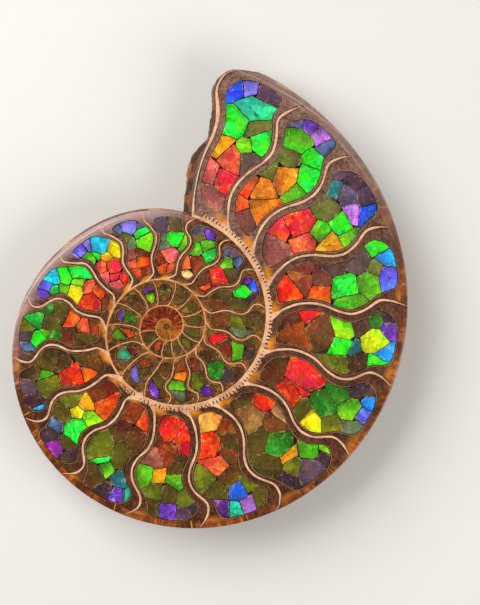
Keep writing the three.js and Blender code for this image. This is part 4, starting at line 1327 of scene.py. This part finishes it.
def shell_values(point, normal):
    """What the shell's material needs to know of a point of the back: how broken it is, and its turn."""
    x, y = point.x / MM - COIL_CENTRE[0], point.y / MM - COIL_CENTRE[1]
    radius = math.hypot(x, y)
    angle = math.degrees(math.atan2(y, x))
    if angle > MOUTH_LINE[2][1] + 4:
        angle -= FULL_TURN
    while angle > -1000 and radius < 0.27 * wall_radius(angle):
        angle -= FULL_TURN
    along = Vector((-y, x, 0)).normalized().dot(normal)
    broken = smooth_step(0.35, 0.6, along) * smooth_step(52, 60, angle)
    return broken, spiral_place(angle, radius, FACE_TOP - point.z / MM)


def make_back(material):
    """The domed back: half turns of shell joined, broken off at the mouth and sawn level under the face."""
    tubes = [shell_tube(number) for number in range(TUBE_COUNT)]
    combine(tubes[0], [mouth_cutter()], "DIFFERENCE")
    combine(tubes[0], tubes[1:], "UNION")
    combine(tubes[0], [saw_box()], "DIFFERENCE")
    mesh = tubes[0].data
    welded = bmesh.new()
    welded.from_mesh(mesh)
    bmesh.ops.remove_doubles(welded, verts=welded.verts, dist=WELD * MM)
    welded.to_mesh(mesh)
    welded.free()
    known = [shell_values(v.co, v.normal) for v in mesh.vertices]
    add_values(mesh, "broken", [broken for broken, _ in known])
    add_vectors(mesh, "spiral", [spiral for _, spiral in known])
    mesh.polygons.foreach_set("use_smooth", [True] * len(mesh.polygons))
    mesh.set_sharp_from_angle(angle=math.radians(BACK_CREASE))
    mesh.materials.clear()
    mesh.materials.append(material)
    piece = tubes[0]
    piece.name = mesh.name = "shell_back"
    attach(piece, "root")
    return piece


def line_object(name, lines):
    """Lines on the face as edges, each point with its width in mm and how golden it is."""
    points, edges, widths, golds = [], [], [], []
    for line in lines:
        start = len(points)
        points += [placed(point, FACE_TOP) for point, _, _ in line]
        widths += [width for _, width, _ in line]
        golds += [gold for _, _, gold in line]
        edges += [(k, k + 1) for k in range(start, len(points) - 1)]
    mesh = bpy.data.meshes.new(name)
    mesh.from_pydata(points, edges, [])
    add_values(mesh, "width", widths)
    add_values(mesh, "golden", golds)
    return in_scene(name, mesh)


def grown(made, tree, inputs):
    """Runs a geometry tree on an object once, and keeps the plain mesh that comes of it."""
    modifier = made.modifiers.new("grow", "NODES")
    modifier.node_group = tree
    for name, value in inputs.items():
        modifier[socket_id(tree, name)] = value
    mesh = as_evaluated(made)
    made.modifiers.clear()
    mesh.name = made.name
    made.data = mesh
    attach(made, "root")
    return made


def geometry_tree(name, inputs):
    """A tree that changes geometry, with named inputs beside it: names with (kind, default)."""
    sockets = {"Geometry": ("NodeSocketGeometry", None), **inputs}
    return new_group(name, "GeometryNodeTree", sockets, {"Geometry": "NodeSocketGeometry"})


def hand_out(tree, geometry, material, result):
    """Gives geometry its material and makes it what the tree returns."""
    dressed = node(tree, "GeometryNodeSetMaterial", {"Geometry": geometry, "Material": material})
    tree.links.new(dressed.outputs[0], result["Geometry"])


# A ribbon 1.1 mm wide stands out by the relief, and others in proportion: two over that width in metres.
HEIGHT_FOR_RELIEF = 1800.0


def ribbon_tree():
    """A low lens-shaped ribbon along each line, as wide as the line's points say."""
    tree, given, result = geometry_tree(
        "Ribbon along a line",
        {
            "Width": ("NodeSocketFloat", 1.0),
            "Relief": ("NodeSocketFloat", 0.00003),
            "Material": ("NodeSocketMaterial", None),
        },
    )
    width = node(tree, "GeometryNodeInputNamedAttribute", {"Name": "width"}, data_type="FLOAT")
    metres = product(tree, width.outputs["Attribute"], given["Width"], MM)
    curve = node(tree, "GeometryNodeMeshToCurve", {"Mesh": given["Geometry"]})
    level = node(tree, "GeometryNodeSetCurveNormal", {"Curve": curve.outputs[0]}, mode="Z_UP")
    sized = node(tree, "GeometryNodeSetCurveRadius", {"Curve": level.outputs[0], "Radius": metres})
    circle = node(tree, "GeometryNodeCurvePrimitiveCircle", {"Resolution": 10, "Radius": 0.5})
    height = product(tree, given["Relief"], HEIGHT_FOR_RELIEF)
    flat = node(tree, "ShaderNodeCombineXYZ", {"X": 1.0, "Y": height, "Z": 1.0})
    profile = node(tree, "GeometryNodeTransform", {"Geometry": circle.outputs[0], "Scale": flat.outputs[0]})
    swept = node(
        tree,
        "GeometryNodeCurveToMesh",
        {"Curve": sized.outputs[0], "Profile Curve": profile.outputs[0], "Fill Caps": True},
    )
    if "Scale" in swept.inputs:
        tree.links.new(metres, swept.inputs["Scale"])
    real = node(tree, "GeometryNodeRealizeInstances", {"Geometry": swept.outputs[0]})
    hand_out(tree, real.outputs[0], given["Material"], result)
    return tree


def bead_tree():
    """Small flattened beads spaced along each line, turned with it, uneven in size and place."""
    tree, given, result = geometry_tree(
        "Beads along a line",
        {
            "Spacing": ("NodeSocketFloat", 0.001),
            "Length": ("NodeSocketFloat", 0.0005),
            "Breadth": ("NodeSocketFloat", 0.0003),
            "Height": ("NodeSocketFloat", 0.0001),
            "Scatter": ("NodeSocketFloat", 0.0002),
            "Seed": ("NodeSocketInt", 3),
            "Material": ("NodeSocketMaterial", None),
        },
    )
    curve = node(tree, "GeometryNodeMeshToCurve", {"Mesh": given["Geometry"]})
    level = node(tree, "GeometryNodeSetCurveNormal", {"Curve": curve.outputs[0]}, mode="Z_UP")
    spots = node(
        tree,
        "GeometryNodeCurveToPoints",
        {"Curve": level.outputs[0], "Length": given["Spacing"]},
        mode="LENGTH",
    )
    shift = node(
        tree,
        "FunctionNodeRandomValue",
        {0: (-1.0, -1.0, 0.0), 1: (1.0, 1.0, 0.0), "Seed": given["Seed"]},
        data_type="FLOAT_VECTOR",
    )
    apart = node(tree, "ShaderNodeVectorMath", {0: shift.outputs[0], 3: given["Scatter"]}, operation="SCALE")
    moved = node(tree, "GeometryNodeSetPosition", {"Geometry": spots.outputs[0], "Offset": apart.outputs[0]})
    size = node(
        tree,
        "FunctionNodeRandomValue",
        {0: (0.5, 0.45, 1.0), 1: (1.3, 1.2, 1.0), "Seed": given["Seed"]},
        data_type="FLOAT_VECTOR",
    )
    bead = node(tree, "GeometryNodeMeshUVSphere", {"Segments": 8, "Rings": 5, "Radius": 1.0})
    shape = node(
        tree, "ShaderNodeCombineXYZ", {"X": given["Breadth"], "Y": given["Height"], "Z": given["Length"]}
    )
    flat = node(tree, "GeometryNodeTransform", {"Geometry": bead.outputs[0], "Scale": shape.outputs[0]})
    placed_beads = node(
        tree,
        "GeometryNodeInstanceOnPoints",
        {
            "Points": moved.outputs[0],
            "Instance": flat.outputs[0],
            "Rotation": spots.outputs["Rotation"],
            "Scale": size.outputs[0],
        },
    )
    real = node(tree, "GeometryNodeRealizeInstances", {"Geometry": placed_beads.outputs[0]})
    smooth = node(tree, "GeometryNodeSetShadeSmooth", {"Geometry": real.outputs[0]})
    hand_out(tree, smooth.outputs[0], given["Material"], result)
    return tree


# Septa thin out inwards, as (turn angle, share of the full width).
SEPTUM_SCALE = ((-900, 0.36), (-480, 0.45), (-290, 0.55), (-150, 0.85), (0, 1))
# The septum at the mouth is thin at its foot and broad further out, as (share of the way out, share).
MOUTH_SCALE = ((0, 0.6), (0.38, 0.6), (0.5, 1.2), (0.7, 1.5), (0.84, 0.7), (1, 0.5))
EVEN_SCALE = ((0, 1),)
# How golden a septum is, and how golden and how broad the wall is, as (turn angle, share).
SEPTUM_GOLD = ((-600, 0.75), (-400, 0.45), (-280, 0.15), (-200, 0))
WALL_GOLD = ((-640, 0.95), (-500, 0.6), (-400, 0.3), (-300, 0.12))
WALL_SCALE = ((-1400, 0.18), (-1100, 0.34), (-900, 0.4), (-560, 0.6), (-300, 1))
# How much broader a septum is at its foot, as (number of the septum, share added).
FOOT_FLARE = ((0, 0.8), (2, 1.4), (6, 1.8), (7, 3), (10, 3), (12, 1.2), (14, 0.2))
# How far out septa reach: the first few stop short of the rim, and the inner ones touch the wall.
SHORT_SEPTUM = 0.955
LONG_SEPTUM = 0.985
FIRST_LONG_SEPTUM = 4
SEPTUM_STEPS, INNER_SEPTUM_STEPS = 70, 26
# Stretches of wall: first and last turn angle, step, and for some mm outwards and share of the breadth.
WHORL_WALL = (-283, -1400, 2.5)
SIPHUNCLE_BAND = (-288, -486, 1.5, 0.9, 1.2)
SIPHUNCLE_LACE = (-288, -490, 2, 1.55)
SIPHUNCLE_HOLES = (-288, -486, 2, 1.1)
# Beads along a line, in mm.
LACE_BEADS = {"Spacing": 0.85, "Length": 0.32, "Breadth": 0.42, "Height": 0.045, "Scatter": 0.2}
HOLE_BEADS = {"Spacing": 1.3, "Length": 0.28, "Breadth": 0.66, "Height": 0.09, "Scatter": 0.14}
LACE_SEED, HOLE_SEED = 5, 11


def septum_lines():
    """Every septum from wall to wall, widest at its foot, narrower and more golden in the inner whorls."""
    lines = []
    for number, middle in enumerate(SEPTUM_ANGLES):
        inner = number >= FIRST_MIDDLE_CHAMBER
        along = MOUTH_SCALE if number == 0 else EVEN_SCALE
        steps = SEPTUM_STEPS if number < FIRST_INNER_SEPTUM else INNER_SEPTUM_STEPS
        scale = linear_at(SEPTUM_SCALE, middle)
        reach = 1 if inner else SHORT_SEPTUM if number < FIRST_LONG_SEPTUM else LONG_SEPTUM
        golden = linear_at(SEPTUM_GOLD, middle)
        line = []
        for k in range(steps + 1):
            share = k / steps * reach
            foot = 1 + linear_at(FOOT_FLARE, number) * (1 - smooth_step(0.0, 0.1, share))
            tip = 1 - 0.75 * smooth_step(0.9, 1.0, share / reach)
            uneven = 1 + 0.14 * math.sin(share * 31 + number * 2.3) * math.sin(share * 13 + number)
            width = scale * foot * tip * uneven * linear_at(along, share)
            line.append((face_point(septum_angle(number, share), share), width, golden))
        lines.append(line)
    return lines


def wall_line(first, last, step, offset=0.0, scale=1.0):
    """A stretch of the shell wall's spiral, as points with widths and how golden they are."""
    line, angle = [], first
    while angle > last:
        radius = wall_radius(angle)
        width = scale * linear_at(WALL_SCALE, angle)
        line.append((on_circle(radius + offset, angle), width, linear_at(WALL_GOLD, angle)))
        angle -= step
    return line


def make_septa(ribbon, cream, hole):
    """Septa, the wall between whorls, and the lacy tube of the siphuncle along the wall's outside."""
    sizes = bpy.context.scene.fossil_sizes
    shared = {"Relief": sizes.relief * MM, "Material": cream}
    grown(line_object("septa", septum_lines()), ribbon, {"Width": sizes.septum_width, **shared})
    wall = line_object("whorl_wall", [wall_line(*WHORL_WALL)])
    grown(wall, ribbon, {"Width": sizes.wall_width, **shared})
    band = line_object("siphuncle_band", [wall_line(*SIPHUNCLE_BAND)])
    grown(band, ribbon, {"Width": 1.0, **shared})
    beads = bead_tree()
    lace = line_object("siphuncle_lace", [wall_line(*SIPHUNCLE_LACE)])
    holes = line_object("siphuncle_holes", [wall_line(*SIPHUNCLE_HOLES)])
    beaded = (lace, LACE_BEADS, LACE_SEED, cream), (holes, HOLE_BEADS, HOLE_SEED, hole)
    for line, bead_sizes, seed, material in beaded:
        inputs = {name: value * MM for name, value in bead_sizes.items()}
        grown(line, beads, {**inputs, "Seed": seed, "Material": material})


# Joints between chips: how far they shift and turn at random, and how far a broad chip pushes them.
JOINT_SHIFT = 0.05
JOINT_SKEW = 17
REACH_SHARE = 0.85
# How joints wander in mm: a slow bend and a quick jag, and the length of each. The noise that bends them
# has a seed of its own, so that they come out the same each time.
JOINT_SEED = 3
JOINT_STEP = 0.55
BEND, BEND_LENGTH = 0.25, 3.0
JAG, JAG_LENGTH = 0.2, 0.8
UNEVEN_JOINT = 0.13
# The chips in their pocket, in mm. The highest point of a chip lies its drop under the face, and up to the
# further drop more.
CHIP_FLOOR = FACE_TOP - POCKET_DEPTH + 0.3
CHIP_BEVEL = 0.12
CHIP_DROP, FURTHER_DROP = 0.02, 0.08
LEAST_HEIGHT = 0.4
LEAN_SHARE = 0.6
POCKET_MARGIN = 0.12
POCKET_STEP, INNER_POCKET_STEP, CELL_STEP = 0.35, 0.2, 0.12
# The smallest chip made, and the smallest bright one that is drawn in for an uneven joint, in square mm.
LEAST_CHIP = 0.15
UNEVEN_CHIP = 2
FIRST_SEED = 100
INNER_EDGE_DULLNESS = 1.6
# How far one side of a chip leans to the next hue. Hues this near to red lean less, and towards orange.
HUE_LEAN = 0.05
REDDEST = 0.04
RED_LEAN = 0.4
GRAIN_SCALE = 0.36
GRAIN_PLACES = 60


def nearer_half(outline, chip, neighbour, gap):
    """What of an outline lies on a chip's side of the joint with its neighbour."""
    # The same joint comes out of either side, because its luck hangs on the pair and not on their order.
    (first, _, first_reach), (second, _, second_reach) = sorted((chip, neighbour), key=lambda c: tuple(c[0]))
    across = second - first
    apart = across.length
    luck = random.Random(round(1000 * abs(across.x) + 10 * abs(across.y)))
    bigger = REACH_SHARE * (first_reach**2 - second_reach**2) / (2 * apart**2)
    middle = first.lerp(second, 0.5 + bigger + luck.uniform(-JOINT_SHIFT, JOINT_SHIFT))
    across.normalize()
    across.rotate(Matrix.Rotation(math.radians(luck.uniform(-JOINT_SKEW, JOINT_SKEW)), 2))
    if chip[0] == second:
        across = -across
    beyond = [(p - middle).dot(across) + gap / 2 for p in outline]
    kept = []
    for k, point in enumerate(outline):
        m = (k + 1) % len(outline)
        if beyond[k] <= 0:
            kept.append(point)
        if (beyond[k] < 0) != (beyond[m] < 0):
            kept.append(point.lerp(outline[m], beyond[k] / (beyond[k] - beyond[m])))
    return kept


def wandering(outline, pocket):
    """A chip's outline in short steps that wander, alike on both sides of a joint but not at the pocket."""
    points = []
    for a, b in zip(outline, outline[1:] + outline[:1]):
        steps = max(1, round((b - a).length / JOINT_STEP))
        for k in range(steps):
            p = a.lerp(b, k / steps)
            free = smooth_step(0.1, 1.6, min((p - q).length for q in pocket))
            place = Vector((p.x, p.y, 0))
            bend = noise_vector(place / BEND_LENGTH) * BEND
            jag = noise_vector(place / JAG_LENGTH) * JAG
            points.append(p + (bend + jag).xy * free)
    return points


def drawn_in(outline, gap):
    """An outline moved inwards by a gap."""
    moved = []
    for k, point in enumerate(outline):
        along = (outline[(k + 1) % len(outline)] - outline[k - 1]).normalized()
        moved.append(point + Vector((-along.y, along.x)) * gap)
    return moved


def thinned(outline, least):
    """An outline without points closer together than a least distance."""
    kept = []
    for point in outline:
        if not kept or (point - kept[-1]).length > least:
            kept.append(point)
    while len(kept) > 3 and (kept[0] - kept[-1]).length < least:
        kept.pop()
    return kept


def area_of(outline):
    return 0.5 * sum(a.x * b.y - b.x * a.y for a, b in zip(outline, outline[1:] + outline[:1]))


def read_chips(text):
    """A chamber's chips, as (centre on the face, colour name, half breadth)."""
    chips = []
    for entry in text.split(","):
        angle, share, colour, *reach = entry.split()
        half_breadth = float(reach[0]) if reach else PLAIN_HALF_BREADTH
        chips.append((face_point(float(angle), float(share)), colour, half_breadth))
    return chips


def turned_hue(colour, turn, light):
    """A screen colour turned round the circle of hues and lit more or less, as linear light."""
    hue, saturation, value = colorsys.rgb_to_hsv(*colour)
    return linear(colorsys.hsv_to_rgb((hue + turn) % 1, saturation, min(value * light, 1)))


def chip_colours(outline, middle, colour, luck):
    """A colour for each point: one side of a chip is deeper, and the other leans towards the next hue."""
    turn = luck.uniform(0, 2 * math.pi)
    across = Vector((math.cos(turn), math.sin(turn)))
    reach = max(abs((p - middle).dot(across)) for p in outline)
    hue = colorsys.rgb_to_hsv(*colour)[0]
    red = hue < REDDEST or hue > 1 - REDDEST
    lean = luck.uniform(0.2, 1) * HUE_LEAN * (RED_LEAN if red else luck.choice((-1, 1)))
    deeper = turned_hue(colour, -0.3 * lean, luck.uniform(0.6, 0.85))
    lighter = turned_hue(colour, lean, luck.uniform(1.05, 1.3))
    own = linear(colour)
    colours = []
    for p in outline:
        t = (p - middle).dot(across) / reach
        end = lighter if t > 0 else deeper
        colours.append(tuple(c + abs(t) * (e - c) for c, e in zip(own, end)))
    return colours


def chip_grain(outline, middle, luck):
    """A place for each point in a pattern of its own, stretched along the chip's grain."""
    spin, start = luck.uniform(0, math.pi), luck.uniform(0, GRAIN_PLACES)
    grain = []
    for p in outline:
        offset = p - middle
        along = offset.x * math.cos(spin) + offset.y * math.sin(spin)
        beside = -offset.x * math.sin(spin) + offset.y * math.cos(spin)
        grain.append((along * GRAIN_SCALE + start, beside * GRAIN_SCALE, start))
    return grain


def chip_mesh(outline, colour, luck):
    """One chip, a low leaning prism with bevelled top edges: its points, faces, colours, grain and core."""
    sizes = bpy.context.scene.fossil_sizes
    count = len(outline)
    middle = sum(outline, Vector((0, 0))) / count
    lean = Vector((luck.gauss(0, 1), luck.gauss(0, 1))) * math.tan(math.radians(sizes.chip_tilt)) * LEAN_SHARE
    rises = [(p - middle).dot(lean) for p in outline]
    top = FACE_TOP - CHIP_DROP - luck.uniform(0, FURTHER_DROP) - max(rises)
    heights = [max(top + rise, CHIP_FLOOR + LEAST_HEIGHT) for rise in rises]
    inner = drawn_in(outline, CHIP_BEVEL)
    half_way = [p.lerp(middle, 0.5) for p in inner]
    points = [placed(p, CHIP_FLOOR) for p in outline]
    points += [placed(p, h - CHIP_BEVEL) for p, h in zip(outline, heights)]
    points += [placed(p, h) for p, h in zip(inner, heights)]
    points += [placed(p, (h + top) / 2) for p, h in zip(half_way, heights)]
    points.append(placed(middle, top))
    faces = [tuple(reversed(range(count)))]
    for ring in range(3):
        for k in range(count):
            a, b = ring * count + k, ring * count + (k + 1) % count
            faces.append((a, b, b + count, a + count))
    faces += [(3 * count + k, 3 * count + (k + 1) % count, 4 * count) for k in range(count)]
    every = outline * 3 + half_way + [middle]
    core = [0.0] * (3 * count) + [0.5] * count + [1.0]
    return points, faces, chip_colours(every, middle, colour, luck), chip_grain(every, middle, luck), core


def make_chips(number, material):
    """All the chips of one chamber, laid edge to edge in its pocket."""
    sizes = bpy.context.scene.fossil_sizes
    luck = random.Random(FIRST_SEED + number)
    edge = chamber_loop(*loop_steps(number))
    pocket = [chamber_point(number, *pocket_place(number, *place)) for place in edge]
    step = POCKET_STEP if number < FIRST_INNER_CHAMBER else INNER_POCKET_STEP
    pocket = drawn_in(thinned(pocket, step), POCKET_MARGIN)
    chips = read_chips(CHIPS[number])
    points, faces, colours, grain, core, dull = [], [], [], [], [], []
    for chip in chips:
        cell = pocket
        for neighbour in chips:
            if neighbour is not chip:
                dulled = min(DULL.get(chip[1], 0), DULL.get(neighbour[1], 0)) > 0
                cell = nearer_half(cell, chip, neighbour, sizes.chip_gap * (DULLED_JOINT if dulled else 1))
        cell = thinned(cell, CELL_STEP)
        if len(cell) < 3 or area_of(cell) < LEAST_CHIP:
            continue
        outline = wandering(cell, pocket)
        own_dullness = DULL.get(chip[1], 0.0)
        if own_dullness == 0 and area_of(cell) > UNEVEN_CHIP:
            outline = drawn_in(outline, luck.uniform(0, UNEVEN_JOINT))
        made = chip_mesh(outline, CHIP_COLOURS[chip[1]], luck)
        start = len(points)
        points += made[0]
        faces += [tuple(start + k for k in face) for face in made[1]]
        colours += made[2]
        grain += made[3]
        core += made[4]
        edge_dullness = INNER_EDGE_DULLNESS if number >= FIRST_INNER_CHAMBER else own_dullness
        dull += [edge_dullness + (own_dullness - edge_dullness) * share for share in made[4]]
    piece = new_piece(f"chips_{number + 1:02d}", points, faces, material, smooth=False)
    add_colours(piece.data, "chip_colour", colours)
    add_values(piece.data, "core", core)
    add_values(piece.data, "dull", dull)
    add_vectors(piece.data, "grain", grain)
    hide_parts(INLAY_NODE.format(number + 1))
    return piece


def softbox(name, place, aim, size, power):
    light = bpy.data.lights.new(name, "AREA")
    light.shape = "RECTANGLE"
    light.size, light.size_y = size
    light.energy = power
    lamp = in_scene(name, light)
    lamp.location = place
    lamp.rotation_euler = (Vector(aim) - Vector(place)).to_track_quat("-Z", "Y").to_euler()


# The photograph's frame, read on the plane of the face: its height in mm, and the point at its centre.
FRAME_HEIGHT = 200.8
FRAME_CENTRE = (9.6, -0.8)
SENSOR = 36
CAMERA_LEAN = (-2.0, 2.0)
SURROUND, OVERHEAD = 0.42, 0.1
FLOOR_REACH = 3.0


def make_camera(stage):
    camera = bpy.data.cameras.new("camera")
    camera.lens = stage.lens
    camera.sensor_width = SENSOR
    camera.clip_start = 0.01
    eye = in_scene("camera", camera)
    aim = Vector((FRAME_CENTRE[0] * MM, FRAME_CENTRE[1] * MM, FACE_Z * MM))
    away = Vector((*(math.tan(math.radians(lean)) for lean in CAMERA_LEAN), 1)).normalized()
    eye.location = aim + away * (FRAME_HEIGHT * MM * stage.lens / SENSOR)
    right = Vector((0, 1, 0)).cross(away).normalized()
    eye.rotation_euler = Matrix((right, away.cross(right), away)).transposed().to_euler()
    bpy.context.scene.camera = eye


def make_floor(material):
    corners = [(x * FLOOR_REACH, y * FLOOR_REACH, 0) for x, y in ((-1, -1), (1, -1), (1, 1), (-1, 1))]
    mesh = bpy.data.meshes.new("floor")
    mesh.from_pydata(corners, [], [(0, 1, 2, 3)])
    mesh.materials.append(material)
    floor = in_scene("floor", mesh)


def make_world():
    """A plain soft surround, darker overhead, so that the polished face isn't veiled by its reflection."""
    world = bpy.data.worlds.new("soft grey")
    world.use_nodes = True
    tree = world.node_tree
    backdrop = tree.nodes["Background"]
    backdrop.inputs["Color"].default_value = (1.0, 0.98, 0.95, 1)
    direction = node(tree, "ShaderNodeTexCoord").outputs["Generated"]
    height = node(tree, "ShaderNodeSeparateXYZ", {"Vector": direction}).outputs["Z"]
    tree.links.new(between(tree, height, 0.6, 0.95, SURROUND, OVERHEAD), backdrop.inputs["Strength"])
    bpy.context.scene.world = world
    bpy.context.scene.view_settings.view_transform = "Standard"


class FOSSIL_OT_finishes(bpy.types.Operator):
    """Make the node groups that several finishes share"""

    bl_idname = "fossil.finishes"
    bl_label = "Shared finishes"

    def execute(self, context):
        shard_group()
        mottle_group()
        return {"FINISHED"}


class FOSSIL_OT_back(bpy.types.Operator):
    """Make the domed shell of the back and its broken mouth"""

    bl_idname = "fossil.back"
    bl_label = "Shell back"

    def execute(self, context):
        make_back(shell_material())
        return {"FINISHED"}


class FOSSIL_OT_face(bpy.types.Operator):
    """Make the ground and polished face with its open pockets"""

    bl_idname = "fossil.face"
    bl_label = "Polished face"

    def execute(self, context):
        face = make_face(face_material())
        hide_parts(FOSSIL_NODE)
        return {"FINISHED"}


class FOSSIL_OT_septa(bpy.types.Operator):
    """Make the septa, the wall between whorls and the siphuncle's lace"""

    bl_idname = "fossil.septa"
    bl_label = "Septa and walls"

    def execute(self, context):
        make_septa(ribbon_tree(), cream_material(), hollow_material())
        return {"FINISHED"}


class FOSSIL_OT_chips(bpy.types.Operator):
    """Set every chamber's chips in its pocket"""

    bl_idname = "fossil.chips"
    bl_label = "Iridescent chips"

    def execute(self, context):
        seed_set(JOINT_SEED)
        material = chip_material()
        for number in range(len(CHIPS)):
            make_chips(number, material)
        return {"FINISHED"}


class FOSSIL_OT_stage(bpy.types.Operator):
    """Set up the pale floor, the soft lights and the camera above the face"""

    bl_idname = "fossil.stage"
    bl_label = "Stage"

    def execute(self, context):
        stage = context.scene.fossil_stage
        make_world()
        make_floor(floor_material())
        middle = (0, 0, FACE_Z * MM)
        softbox("key_light", (-0.5, 0.36, 0.56), middle, (0.8, 0.6), stage.key_power)
        softbox("fill_light", (0.52, -0.32, 0.5), middle, (0.6, 0.5), stage.fill_power)
        make_camera(stage)
        return {"FINISHED"}


class FOSSIL_PT_panel(bpy.types.Panel):
    """Lists the pieces in the order in which they are made"""

    bl_idname = "FOSSIL_PT_panel"
    bl_label = "Polished ammonite half"
    bl_space_type = "VIEW_3D"
    bl_region_type = "UI"
    bl_category = "Ammonite"

    def draw(self, context):
        for group in (context.scene.fossil_sizes, context.scene.fossil_colours, context.scene.fossil_stage):
            for key in group.__annotations__:
                self.layout.prop(group, key)
        for operator in OPERATORS:
            self.layout.operator(operator.bl_idname)


OPERATORS = (
    FOSSIL_OT_finishes,
    FOSSIL_OT_back,
    FOSSIL_OT_face,
    FOSSIL_OT_septa,
    FOSSIL_OT_chips,
    FOSSIL_OT_stage,
)
CLASSES = (FossilSizes, FossilColours, StageSettings, *OPERATORS, FOSSIL_PT_panel)


def register():
    for cls in CLASSES:
        bpy.utils.register_class(cls)
    bpy.types.Scene.fossil_sizes = PointerProperty(type=FossilSizes)
    bpy.types.Scene.fossil_colours = PointerProperty(type=FossilColours)
    bpy.types.Scene.fossil_stage = PointerProperty(type=StageSettings)


def unregister():
    del bpy.types.Scene.fossil_stage
    del bpy.types.Scene.fossil_colours
    del bpy.types.Scene.fossil_sizes
    for cls in reversed(CLASSES):
        bpy.utils.unregister_class(cls)


def main():
    register()
    bpy.ops.fossil.finishes()
    bpy.ops.fossil.back()
    bpy.ops.fossil.face()
    bpy.ops.fossil.septa()
    bpy.ops.fossil.chips()
    bpy.ops.fossil.stage()


if __name__ == "__main__":
    main()
